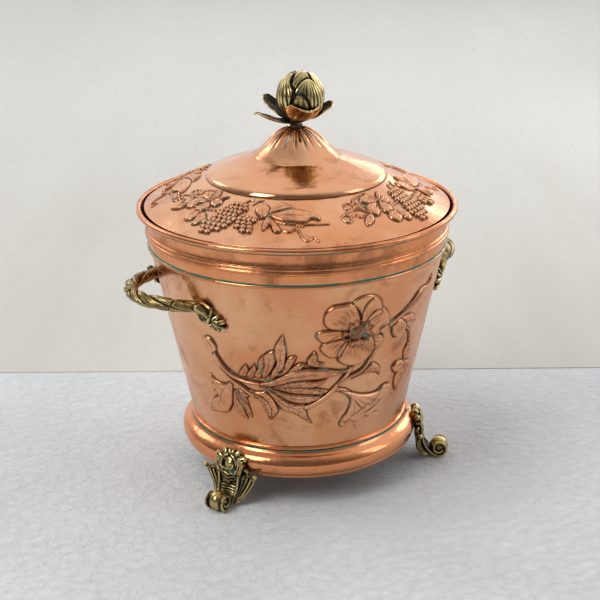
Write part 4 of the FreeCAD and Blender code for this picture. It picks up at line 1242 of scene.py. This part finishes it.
def handle_field(p):
    """A handle standing out along +X: a twisted grip and two leaf ends, alike on both sides."""
    q = p.copy()
    q[:, 1] = np.abs(q[:, 1])
    middle, *axes = leaf_frame()
    leaf = np.stack([(q - middle) @ axis for axis in axes], -1)
    wall = WALL_LOW_R + (q[:, 2] - WALL_LOW_Z) * WALL_SLOPE - np.hypot(q[:, 0], q[:, 1])
    return np.maximum(meld(rope(q), leaf_end(leaf), 1.6), wall)


def handles(material):
    low, high = (107.0, -93.0, 184.0), (190.5, 93.0, 226.0)
    data = casting_data(handle_field, low, high, 0.62)
    for node, turn in HANDLE_TURNS.items():
        casting(node, data, math.radians(turn), material)


# ---- the finial ----
BUD_R, BUD_LOW_Z, NECK_TOP_Z = 26.0, 372.0, 369.0
BUD_SHIFT, BUD_LEAN, BUD_LEAN_ANGLE = 3.0, 4.0, 65.0
BUD_COLUMNS, BUD_ROWS = 420, 210
BUD_DEPTH = 4.2  # how far the innermost petals lie below the bud's full size

# petals from the inside out: outline in degrees round the bud and up from its base, height, and the
# place round the bud at which its ribs meet at the tip
BUD_PETALS = (
    ([(65, 3), (100, 20), (118, 60), (112, 105), (95, 145), (70, 172), (42, 150), (22, 105), (12, 60),
      (30, 20)], 0.0, 66),
    ([(252, 3), (280, 20), (300, 60), (296, 110), (280, 150), (262, 174), (244, 172), (222, 150), (206, 105),
      (202, 60), (222, 20)], 0.5, 256),
    ([(335, 3), (370, 20), (388, 60), (384, 100), (366, 138), (338, 162), (306, 164), (290, 150), (288, 110),
      (282, 60), (300, 20)], 1.3, 325),
    ([(120, 3), (148, 20), (164, 60), (160, 105), (148, 140), (128, 162), (104, 155), (84, 120), (74, 60),
      (90, 20)], 1.4, 122),
    ([(28, 3), (58, 20), (76, 60), (74, 100), (62, 132), (40, 148), (16, 140), (-6, 112), (-16, 60),
      (0, 20)], 2.2, 34),
    ([(182, 3), (222, 20), (242, 60), (236, 90), (229, 106), (213, 121), (203, 133), (195, 149), (184, 158),
      (166, 150), (146, 124), (133, 95), (130, 60), (146, 20)], 2.4, 188),
    ([(262, 3), (298, 20), (314, 60), (304, 95), (298, 112), (288, 132), (271, 143), (256, 141), (243, 133),
      (233, 119), (229, 105), (224, 60), (234, 20)], 3.2, 268),
    ([(245, 3), (262, 20), (266, 60), (260, 86), (250, 99), (238, 103), (230, 90), (226, 60), (232, 20)],
     3.7, 242),
)


def petal_ribs(outline, tip, count):
    """Lines from a petal's root to its tip, spread between its two sides."""
    p = spline(outline, True)
    low, high = p[:, 1].min(), p[:, 1].max()
    lines = []
    for k in range(1, count):
        line = []
        for f in (0.12, 0.35, 0.6, 0.8, 0.93):
            level = low + (high - low) * f
            near = p[np.abs(p[:, 1] - level) < 7, 0]
            side = near.min() + (near.max() - near.min()) * k / count
            line.append((side + (tip - side) * 0.25 * f ** 3, level))
        lines.append(line)
    return lines


def bud_relief():
    """Overlapping ribbed petals, drawn over more than a full turn so that they close up."""
    step = 360 / BUD_COLUMNS
    relief = Relief(-420, 0, step, 180 / BUD_ROWS, int(BUD_COLUMNS * 3.4), BUD_ROWS + 1)
    for outline, stand, tip in BUD_PETALS:
        for lap in (-360, 0, 360):
            moved = np.asarray(outline, dtype=float) + (lap, 0)
            line = spline(moved, True)
            win = relief.window(line, 8)
            d = inside_distance(relief.u[win], relief.v[win], line)
            # painted shade under each petal's overlapping edge, lightened along its lip as a painted
            # highlight; the ribs' grooves get painted shade too
            lip = bell_curve(d - 4, 3) * smoothstep(75, 105, relief.v[win])
            gap = bell_curve(d + 2.4, 4.0)
            relief.lay(win, smoothstep(-1.0, 0.8, d), stand + 0.9 * rounded(d, 6) + 0.7 * lip, 0)
            relief.height[win] -= 1.4 * np.where(d < 0, gap, 0)
            shade = np.maximum(relief.dark[win], np.where(d < 1.5, gap, 0))
            relief.dark[win] = np.clip(shade - 0.5 * lip, 0, 1)
            for k, rib in enumerate(petal_ribs(moved, tip + lap, 8)):
                relief.groove(rib, 2.4, 0.5 + 0.2 * (k % 2), 0.35 + 0.3 * (k % 3))
    return relief


def bud_piece():
    """A closed bud of overlapping ribbed petals, drawn as relief on a ball."""
    relief = bud_relief()
    turn = np.s_[BUD_COLUMNS:2 * BUD_COLUMNS]
    height, dark = relief.height[:, turn], relief.dark[:, turn]
    up = turns(0, 180, BUD_ROWS + 1)[1:-1]
    theta = np.radians(relief.u[0, turn] + 90)
    theta_grid, up_grid = np.meshgrid(theta, up)
    closed = smoothstep(2.2, 2.95, up_grid)
    radius = BUD_R - BUD_DEPTH * (1 - 0.75 * closed) + height[1:-1] * (1 - 0.6 * closed)
    radius = np.where(radius > BUD_R - 1, BUD_R - np.exp(BUD_R - 1 - radius), radius)
    points = polar(theta_grid, radius * np.sin(up_grid), BUD_LOW_Z + BUD_R - radius * np.cos(up_grid))
    poles = np.array([[0, 0, BUD_LOW_Z + BUD_R - radius[0].mean()],
                      [0, 0, BUD_LOW_Z + BUD_R + radius[-1].mean()]])
    flat = np.concatenate([points.reshape(-1, 3), poles])
    tilt = Matrix.Rotation(math.radians(BUD_LEAN), 3, Vector((0, 0, 1)).cross(lean_way()))
    pivot = np.array([0, 0, NECK_TOP_Z])
    flat = (flat - pivot) @ np.array(tilt).T + pivot + np.array(lean_way() * BUD_SHIFT)
    ids = np.arange(points.shape[0] * BUD_COLUMNS).reshape(points.shape[:2])
    quads = turned_quads(ids)
    low_pole, high_pole = len(flat) - 2, len(flat) - 1
    low_fan = np.stack([np.roll(ids[0], -1), ids[0], np.full(BUD_COLUMNS, low_pole)], -1)
    high_fan = np.stack([ids[-1], np.roll(ids[-1], -1), np.full(BUD_COLUMNS, high_pole)], -1)
    corners = np.concatenate([quads.ravel(), low_fan.ravel(), high_fan.ravel()])
    counts = np.concatenate([np.full(len(quads), 4), np.full(2 * BUD_COLUMNS, 3)])
    # the hollow attribute here is painted shade between the petals and in their ribs
    shade = np.clip(0.12 + dark[1:-1] * 0.8, 0, 1).ravel()
    return make_mesh("finial_bud_cast", flat, corners, counts, {"hollow": np.concatenate([shade, [1, 0.5]])})


def lean_way():
    a = math.radians(BUD_LEAN_ANGLE)
    return Vector((math.sin(a), -math.cos(a), 0))


# each calyx leaf: direction round from the front, tilt, length, width, cupping, twist of its tip in
# degrees, and how far along it is widest
SEPALS = ((5, 21, 35, 41, 0.9, 0, 0.74), (-108, 8, 44, 22, 0.7, 14, 0.55), (-142, 27, 46, 22, 0.8, -12, 0.55),
          (75, 19, 43, 20, 0.8, 18, 0.6), (160, 20, 40, 28, 0.8, 0, 0.6))


def sepal_points(length, width, cup, twist, widest, side):
    """Points of one face of a calyx leaf growing along +X: side is 1 for its upper face."""
    s = np.linspace(0, 1, 60)[:, None]
    w = np.linspace(-1, 1, 41)[None, :]
    toward = np.where(s < widest, (widest - s) / widest, (s - widest) / (1 - widest))
    half = width / 2 * np.clip(1 - toward ** 2.3, 0, 1) ** 0.6
    half = np.maximum(half * (1 + 0.05 * np.sin(17 * s + 2 * np.sign(w))), 4.5 * (1 - s) ** 2)
    x = 3 + (length - 3) * s
    y = half * w
    rise = 7.5 * s ** 2 - 1.5 * np.sin(np.pi * s)
    rolled = smoothstep(0.72, 1.0, np.abs(w)) * smoothstep(0.1, 0.4, s) + smoothstep(0.9, 1.0, s)
    bowl = cup * 0.05 * np.abs(y) ** 1.9 - 1.5 * rolled
    ripple = 0.5 * np.sin(13 * s + 1.5 * w) * w ** 2
    vein = -0.4 * np.exp(-(y / 0.9) ** 2) + 0.15 * np.cos(8 * np.pi * w) * (0.4 + 0.6 * s)
    angle = np.radians(twist) * s ** 2
    z = bowl + ripple + side * vein
    y, z = y * np.cos(angle) - z * np.sin(angle), rise + z * np.cos(angle) + y * np.sin(angle)
    thick = 0.95 * np.sqrt(np.clip(1 - w ** 6, 0, 1)) * np.sqrt(np.clip(1 - s ** 10, 0, 1)) + 0.02
    z = z + 1.0 + side * thick
    # painted light: the upper face is shaded darker and the lower one paler, the rolled rims get a painted
    # highlight and the veins' grooves painted shade
    shade = (0.42 if side > 0 else 0.2) - 0.35 * vein - 0.4 * np.clip(rolled, 0, 1)
    return np.stack([x + 0 * w, y, z], -1), np.clip(shade + 0 * s, 0, 1)


def sepals_piece():
    """The calyx: five bent leaves, in one casting."""
    vertices, faces, shade = [], [], []
    base = 0
    for angle, tilt, *leaf in SEPALS:
        turn = Matrix.Rotation(math.radians(angle - 90), 3, "Z")
        turn = turn @ Matrix.Rotation(math.radians(-tilt), 3, "Y")
        shapes = [sepal_points(*leaf, side) for side in (1, -1)]
        rows, columns = shapes[0][0].shape[:2]
        for points, dark in shapes:
            vertices.append(points.reshape(-1, 3) @ np.array(turn).T + np.array([0, 0, NECK_TOP_Z]))
            shade.append(dark.ravel())
        top = base + np.arange(rows * columns).reshape(rows, columns)
        low = top + rows * columns
        base += 2 * rows * columns
        upper = np.stack([top[:-1, :-1], top[1:, :-1], top[1:, 1:], top[:-1, 1:]], -1).reshape(-1, 4)
        lower = np.stack([low[:-1, :-1], low[:-1, 1:], low[1:, 1:], low[1:, :-1]], -1).reshape(-1, 4)
        rim = np.concatenate([top[0, :-1], top[:-1, -1], top[-1, :0:-1], top[:0:-1, 0]])
        rim_low = rim + rows * columns
        wall = np.stack([rim, np.roll(rim, -1), np.roll(rim_low, -1), rim_low], -1)
        faces += [upper, lower, wall]
    return quad_mesh("finial_sepals_cast", np.concatenate(vertices), np.concatenate(faces),
                     {"hollow": np.concatenate(shade)})


# ---- materials ----
def smooth_ramp(tree, source, low, high, bottom, top):
    node = tree.nodes.new("ShaderNodeMapRange")
    node.interpolation_type = "SMOOTHSTEP"
    tree.links.new(source, node.inputs["Value"])
    for key, value in (("From Min", low), ("From Max", high), ("To Min", bottom), ("To Max", top)):
        node.inputs[key].default_value = value
    return node.outputs["Result"]


class Nodes:
    """A short way to write shader nodes."""

    def __init__(self, name):
        self.material = bpy.data.materials.new(name)
        self.material.use_nodes = True
        self.tree = self.material.node_tree
        self.shader = self.tree.nodes["Principled BSDF"]

    def add(self, kind, **settings):
        node = self.tree.nodes.new("ShaderNode" + kind)
        for key, value in settings.items():
            setattr(node, key, value)
        return node

    def join(self, source, target):
        self.tree.links.new(source, target)

    def noise(self, scale, detail, roughness=0.55, distortion=0.0, at=None):
        """Noise in metres, so a scale of 100 makes spots about a centimetre across."""
        node = self.add("TexNoise")
        self.join(at or self.coordinates(), node.inputs["Vector"])
        node.inputs["Scale"].default_value = scale
        node.inputs["Detail"].default_value = detail
        node.inputs["Roughness"].default_value = roughness
        node.inputs["Distortion"].default_value = distortion
        return node.outputs["Fac"]

    def coordinates(self):
        return self.add("TexCoord").outputs["Object"]

    def ramp(self, source, low, high, bottom=0.0, top=1.0):
        """Maps a value from low..high to bottom..top, smoothly."""
        return smooth_ramp(self.tree, source, low, high, bottom, top)

    def math(self, operation, a, b=None):
        node = self.add("Math", operation=operation)
        for k, value in enumerate((a, b)):
            if isinstance(value, (int, float)):
                node.inputs[k].default_value = value
            elif value is not None:
                self.join(value, node.inputs[k])
        return node.outputs[0]

    def plus(self, a, b):
        return self.math("ADD", a, b)

    def times(self, a, b):
        return self.math("MULTIPLY", a, b)

    def apart(self):
        node = self.add("SeparateXYZ")
        self.join(self.coordinates(), node.inputs["Vector"])
        return node.outputs

    def stretched(self, scale):
        """Object coordinates multiplied by a scale along each axis."""
        node = self.add("Mapping")
        node.inputs["Scale"].default_value = scale
        self.join(self.coordinates(), node.inputs["Vector"])
        return node.outputs["Vector"]

    def mix(self, amount, a, b):
        node = self.add("Mix", data_type="RGBA")
        if isinstance(amount, (int, float)):
            node.inputs[0].default_value = amount
        else:
            self.join(amount, node.inputs[0])
        for k, value in ((6, a), (7, b)):
            if isinstance(value, tuple):
                node.inputs[k].default_value = (*value, 1)
            else:
                self.join(value, node.inputs[k])
        return node.outputs[2]

    def attribute(self, name):
        return self.add("Attribute", attribute_name=name).outputs["Fac"]

    def bump(self, height, strength, distance):
        node = self.add("Bump")
        node.inputs["Strength"].default_value = strength
        node.inputs["Distance"].default_value = distance
        self.join(height, node.inputs["Height"])
        self.join(node.outputs["Normal"], self.shader.inputs["Normal"])

    def finish(self, colour, roughness, metallic=1.0):
        self.join(colour, self.shader.inputs["Base Color"])
        self.join(roughness, self.shader.inputs["Roughness"])
        if isinstance(metallic, (int, float)):
            self.shader.inputs["Metallic"].default_value = metallic
        else:
            self.join(metallic, self.shader.inputs["Metallic"])
        return self.material


COPPER_PALE = (0.87, 0.46, 0.255)
COPPER = (0.77, 0.325, 0.15)
COPPER_DEEP = (0.80, 0.27, 0.10)
COPPER_BROWN = (0.32, 0.11, 0.045)
CHASE = (0.045, 0.022, 0.014)
VERDIGRIS = (0.16, 0.36, 0.27)
TIN, TIN_STAIN = (0.56, 0.54, 0.50), (0.30, 0.25, 0.20)


def copper_material(name, tone, chased, green_lines=(), gloss=0.0, deep=0.0):
    """Worn copper: paler where rubbed, brown blotches, dark chased lines, verdigris in joint lines.

    tone darkens it with more stains, and deep reddens it. A chased sheet has its relief's patina with painted
    shade in the hollows, its high places paler as rubbed wear and painted highlight, and a tinned inside.
    green_lines are heights in metres at which a joint holds verdigris, with half-widths.
    """
    n = Nodes(name)
    broad = n.noise(13.0, 3.0, 0.5)
    blotch = n.noise(34.0, 5.0, 0.62, 0.5)
    fine = n.noise(160.0, 4.0, 0.6)
    worn = n.mix(n.ramp(broad, 0.35, 0.65), COPPER, COPPER_PALE)
    worn = n.mix(deep, worn, COPPER_DEEP)
    stains = n.times(n.ramp(blotch, 0.52 - tone, 0.72 - tone), n.ramp(broad, 0.7, 0.35, 0.2, 0.75))
    colour = n.mix(stains, worn, COPPER_BROWN)
    specks = n.ramp(fine, 0.62, 0.78, 0.0, 0.35)
    colour = n.mix(specks, colour, COPPER_BROWN)
    scratches = n.noise(1.0, 2.0, 0.5, at=n.stretched((260, 260, 1500)))
    rough = n.plus(n.ramp(blotch, 0.3, 0.8, 0.15 - gloss, 0.30 - gloss),
                   n.times(n.ramp(scratches, 0.3, 0.7), 0.07))
    metallic = n.ramp(fine, 0.0, 1.0, 1.0, 0.96)
    if chased:
        dark = n.attribute("dark")
        raised = n.attribute("raised")
        green_spots = n.times(n.ramp(n.noise(75.0, 3.0), 0.52, 0.62), n.ramp(dark, 0.4, 0.7, 0.0, 0.75))
        # rubbed wear and painted highlight: the relief's high places are paler
        colour = n.mix(n.ramp(raised, 0.25, 1.1, 0.0, 0.4), colour, COPPER_PALE)
        # the dark attribute is chased lines and patina, and also painted shade in the relief's hollows
        colour = n.mix(n.ramp(dark, 0.04, 0.45, 0.0, 0.6), colour, COPPER_BROWN)
        colour = n.mix(n.ramp(dark, 0.32, 0.85, 0.0, 0.9), colour, CHASE)
        colour = n.mix(green_spots, colour, VERDIGRIS)
        rough = n.plus(rough, n.ramp(dark, 0.2, 0.9, 0.0, 0.3))
        rough = n.plus(rough, n.ramp(raised, 0.2, 0.9, 0.0, 0.07))
        metallic = n.ramp(dark, 0.3, 0.9, 1.0, 0.8)
        inside = n.attribute("inside")
        tin_stain = n.mix(n.ramp(blotch, 0.45, 0.7, 0.0, 0.6), TIN, TIN_STAIN)
        colour = n.mix(inside, colour, tin_stain)
        rough = n.plus(rough, n.times(inside, 0.08))
    for z, half in green_lines:
        near = n.ramp(n.math("ABSOLUTE", n.math("SUBTRACT", n.apart()["Z"], z)), half, half * 0.35)
        broken = n.times(near, n.ramp(n.noise(60.0, 4.0, 0.6), 0.34, 0.5, 0.25, 1.0))
        colour = n.mix(broken, colour, VERDIGRIS)
        rough = n.plus(rough, n.times(broken, 0.35))
    ripple = n.plus(n.noise(55.0, 2.0), n.times(fine, 0.12))
    n.bump(n.plus(ripple, n.times(scratches, 0.03)), 0.35, 0.0012)
    return n.finish(colour, rough, metallic)


BRASS_BRIGHT = (0.88, 0.70, 0.34)
BRASS = (0.36, 0.26, 0.095)
BRASS_PAINTED_SHADE = (0.016, 0.011, 0.005)


def brass_material(name, low_tone, level_from):
    """Antique cast brass: yellow on the ridges as a painted highlight, painted shade near black in the
    hollows, a little verdigris.
    """
    n = Nodes(name)
    hollow = n.attribute("hollow")
    blotch = n.noise(70.0, 4.0, 0.6)
    fine = n.noise(420.0, 3.0, 0.6)
    level = n.plus(hollow, n.times(n.math("SUBTRACT", blotch, level_from), 0.3))
    base = n.mix(n.ramp(blotch, 0.35, 0.65), BRASS, low_tone)
    # painted light from the hollow attribute: yellow as a painted highlight on ridges and open faces, near
    # black as painted shade in the hollows
    colour = n.mix(n.ramp(level, 0.34, 0.06), base, BRASS_BRIGHT)
    colour = n.mix(n.ramp(level, 0.27, 0.5, 0.0, 0.98), colour, BRASS_PAINTED_SHADE)
    green = n.times(n.ramp(level, 0.45, 0.75), n.ramp(n.noise(110.0, 2.0), 0.55, 0.68, 0.0, 0.7))
    colour = n.mix(green, colour, VERDIGRIS)
    rough = n.plus(n.ramp(level, 0.1, 0.6, 0.13, 0.5), n.times(fine, 0.08))
    n.bump(n.plus(fine, n.times(blotch, 1.5)), 0.3, 0.0006)
    return n.finish(colour, rough, n.ramp(level, 0.3, 0.7, 1.0, 0.6))


def plain_metal(name, light, dark, rough_low, rough_high):
    n = Nodes(name)
    blotch = n.noise(90.0, 5.0, 0.6)
    fine = n.noise(540.0, 3.0, 0.6)
    colour = n.mix(n.ramp(blotch, 0.35, 0.7), light, dark)
    rough = n.ramp(fine, 0.3, 0.7, rough_low, rough_high)
    n.bump(fine, 0.2, 0.0004)
    return n.finish(colour, rough)


# ---- floor, backdrop, light and camera ----
FOCAL = 1417.0  # on a scale where the frame is 600 wide
SENSOR_WIDTH = 36
VIEW_DISTANCE, VIEW_HEIGHT = 1.40936, 0.70039  # metres
VIEW_PITCH, VIEW_TURN, VIEW_ROLL = 0.354612, -25.0, -0.0086612
VIEW_SIDE = 0.002348
ROOM_BRIGHT_WAY = (0.62, 0.60, 0.50)
SUN_POWER, SUN_SPREAD, SUN_WAY = 0.95, 35, (0.85, -0.1, -1.5)
BOARD_THICK = 0.004
BACKDROP_START, BACKDROP_DEPTH, BACKDROP_LIFT = 0.228, 6.0, 0.0008


def camera():
    data = bpy.data.cameras.new("camera")
    holder = placed("camera", data)
    turn = Matrix.Rotation(math.radians(VIEW_TURN), 4, "Z")
    place = turn @ Vector((VIEW_SIDE, -VIEW_DISTANCE, VIEW_HEIGHT))
    heading = turn @ Vector((0, math.cos(VIEW_PITCH), -math.sin(VIEW_PITCH)))
    aim = heading.to_track_quat("-Z", "Y").to_matrix().to_4x4()
    holder.matrix_world = Matrix.Translation(place) @ aim @ Matrix.Rotation(VIEW_ROLL, 4, "Z")
    data.sensor_width = SENSOR_WIDTH
    data.lens = FOCAL * SENSOR_WIDTH / 600
    bpy.context.scene.camera = holder


def flat_board(name, centre, width, depth, turn, z, material):
    """A thin flat board lying level, its top at z, in metres."""
    mesh = bpy.data.meshes.new(name)
    x, y = width / 2, depth / 2
    outline = ((-x, -y), (x, -y), (x, y), (-x, y))
    points = [(*corner, level) for level in (-BOARD_THICK, 0) for corner in outline]
    faces = [(0, 3, 2, 1), (4, 5, 6, 7), (0, 1, 5, 4), (1, 2, 6, 5), (2, 3, 7, 6), (3, 0, 4, 7)]
    mesh.from_pydata(points, [], faces)
    board = placed(name, mesh)
    board.matrix_world = Matrix.Translation((centre[0], centre[1], z)) @ Matrix.Rotation(turn, 4, "Z")
    board.data.materials.append(material)


PLASTER_PAINTED_LIGHT = (0.82, 0.82, 0.79)


def plaster(name, light, dark, bump, stretch, painted_light_fade=None):
    """Brushed plaster, its marks stretched along Y; the fade is a pair of Y over which it pales as painted
    light, in metres.
    """
    n = Nodes(name)
    place = n.stretched((1, 1 / stretch, 1))
    broad = n.noise(3.5, 5.0, 0.6, at=place)
    grain = n.noise(90.0, 6.0, 0.7, 0.6, at=place)
    colour = n.mix(n.ramp(broad, 0.3, 0.7), light, dark)
    if painted_light_fade:
        # painted light: the backdrop pales away from the bucket, as a wall lit more towards its top
        colour = n.mix(n.ramp(n.apart()["Y"], *painted_light_fade, 0.0, 0.6), colour, PLASTER_PAINTED_LIGHT)
    colour = n.mix(n.ramp(grain, 0.5, 0.75, 0.0, 0.35), colour, dark)
    n.bump(grain, bump, 0.004)
    return n.finish(colour, n.ramp(grain, 0.2, 0.8, 0.75, 0.9), 0.0)


def stage():
    floor = plaster("floor_plaster", (0.69, 0.705, 0.715), (0.61, 0.625, 0.635), 0.9, 1)
    wall = plaster("backdrop_plaster", (0.60, 0.582, 0.545), (0.535, 0.512, 0.465), 0.2, 5, (-2.9, -1.0))
    flat_board("floor", (0, 0), 9, 9, 0, 0, floor)
    ahead = Vector((math.sin(math.radians(-VIEW_TURN)), math.cos(math.radians(-VIEW_TURN))))
    flat_board("backdrop", ahead * (BACKDROP_START + BACKDROP_DEPTH / 2), 9, BACKDROP_DEPTH,
               math.radians(VIEW_TURN), BACKDROP_LIFT, wall)


def area_light(name, place, aim, width, height, power, colour):
    data = bpy.data.lights.new(name, "AREA")
    data.shape = "RECTANGLE"
    data.size, data.size_y = width, height
    data.energy = power
    data.color = colour
    lamp = placed(name, data)
    lamp.location = place
    lamp.rotation_euler = (Vector(aim) - Vector(place)).to_track_quat("-Z", "Y").to_euler()


def room():
    """The room around: pale behind the bucket and overhead, dim on the near side."""
    world = bpy.data.worlds.new("world")
    bpy.context.scene.world = world
    world.use_nodes = True
    tree = world.node_tree
    toward = tree.nodes.new("ShaderNodeVectorMath")
    toward.operation = "DOT_PRODUCT"
    toward.inputs[1].default_value = ROOM_BRIGHT_WAY
    tree.links.new(tree.nodes.new("ShaderNodeTexCoord").outputs["Generated"], toward.inputs[0])
    level = smooth_ramp(tree, toward.outputs["Value"], -0.35, 0.9, 0.15, 0.96)
    background = tree.nodes["Background"]
    background.inputs["Color"].default_value = (0.97, 0.98, 1.0, 1)
    tree.links.new(level, background.inputs["Strength"])


def sun():
    """Soft daylight from the upper left, even over floor and backdrop."""
    data = bpy.data.lights.new("daylight", "SUN")
    data.energy = SUN_POWER
    data.angle = math.radians(SUN_SPREAD)
    data.color = (1.0, 0.99, 0.96)
    lamp = placed("daylight", data)
    lamp.rotation_euler = Vector(SUN_WAY).to_track_quat("-Z", "Y").to_euler()
    lamp.visible_glossy = False


def lighting():
    bpy.context.scene.view_settings.view_transform = "Standard"
    room()
    area_light("window_left", (-1.9, -0.5, 1.7), (0, 0, 0.2), 0.9, 1.3, 18, (1.0, 0.98, 0.95))
    area_light("window_right", (1.75, 0.75, 0.85), (0, 0, 0.25), 0.9, 0.7, 4.5, (1.0, 1.0, 1.0))
    area_light("window_back_left", (-0.84, 1.56, 1.19), (0, 0, 0.25), 0.8, 0.7, 3.2, (1.0, 1.0, 1.0))
    area_light("window_back", (1.8, 2.4, 1.2), (0, 0, 0.3), 1.3, 0.6, 3.5, (1.0, 1.0, 1.0))
    sun()
    area_light("fill_right", (1.8, -1.2, 1.2), (0, 0, 0.2), 0.8, 1.4, 5, (0.95, 0.97, 1.0))


# ---- putting it together ----
def show(node, material):
    node.data.materials.clear()
    node.data.materials.append(material)


def paint_nodes():
    """Materials for the CAD pieces whose own shape is shown."""
    base = copper_material("copper_base", 0.0, False, ((0.0582, 0.0016), (0.0368, 0.0008)), 0.07, 0.6)
    beads = copper_material("copper_beads", 0.02, False, ((0.0584, 0.0013), (0.2494, 0.0010)), 0.07, 0.6)
    tin = plain_metal("tinned_sheet", TIN, (0.34, 0.30, 0.25), 0.3, 0.5)
    steel = plain_metal("old_steel", (0.42, 0.41, 0.39), (0.20, 0.17, 0.14), 0.35, 0.55)
    wire = plain_metal("rim_wire_metal", (0.35, 0.34, 0.33), (0.16, 0.13, 0.11), 0.35, 0.6)
    looks = {"base_ring": base, "base_bead": beads, "collar_bead": beads,
             "bucket_floor": tin, "lid_flange": tin, "rim_wire": wire}
    for name, node in NODES.items():
        if name.endswith(("_screws", "_nuts", "_nut", "_studs", "_stud", "_washers", "_washer")):
            show(node, steel)
        elif name in looks:
            show(node, looks[name])


camera()
stage()
lighting()
paint_nodes()
wall_copper = copper_material("copper_wall", 0.0, True, ((0.0586, 0.0014),))
lid_copper = copper_material("copper_lid", 0.02, True, gloss=0.04)
finished(wall_piece(), wall_copper, "bucket", "copper", "bucket_wall")
finished(pan_piece(), lid_copper, "lid", "copper", "lid_pan")
dome_copper = copper_material("copper_dome", -0.03, True, gloss=0.09)
finished(dome_piece(), dome_copper, "lid", "copper", "lid_dome")
# the collar's copper takes more brown stains than the wall's: partly staining, partly painted shade
collar_copper = copper_material("copper_collar", 0.07, False, ((0.2498, 0.0013), (0.2826, 0.0012)), 0.04, 0.6)
finished(collar_piece(), collar_copper, "bucket", "copper", "rim_collar")
brass = brass_material("brass_cast", (0.25, 0.17, 0.055), 0.5)
feet(brass)
handles(brass)
finished(bud_piece(), brass, "lid", "brass", "finial_bud")
calyx_brass = brass_material("brass_calyx", (0.33, 0.11, 0.035), 0.1)
finished(sepals_piece(), calyx_brass, "lid", "brass", "finial_sepals")
show(NODES["finial_neck"], plain_metal("brass_neck", (0.12, 0.07, 0.03), (0.03, 0.018, 0.01), 0.4, 0.6))
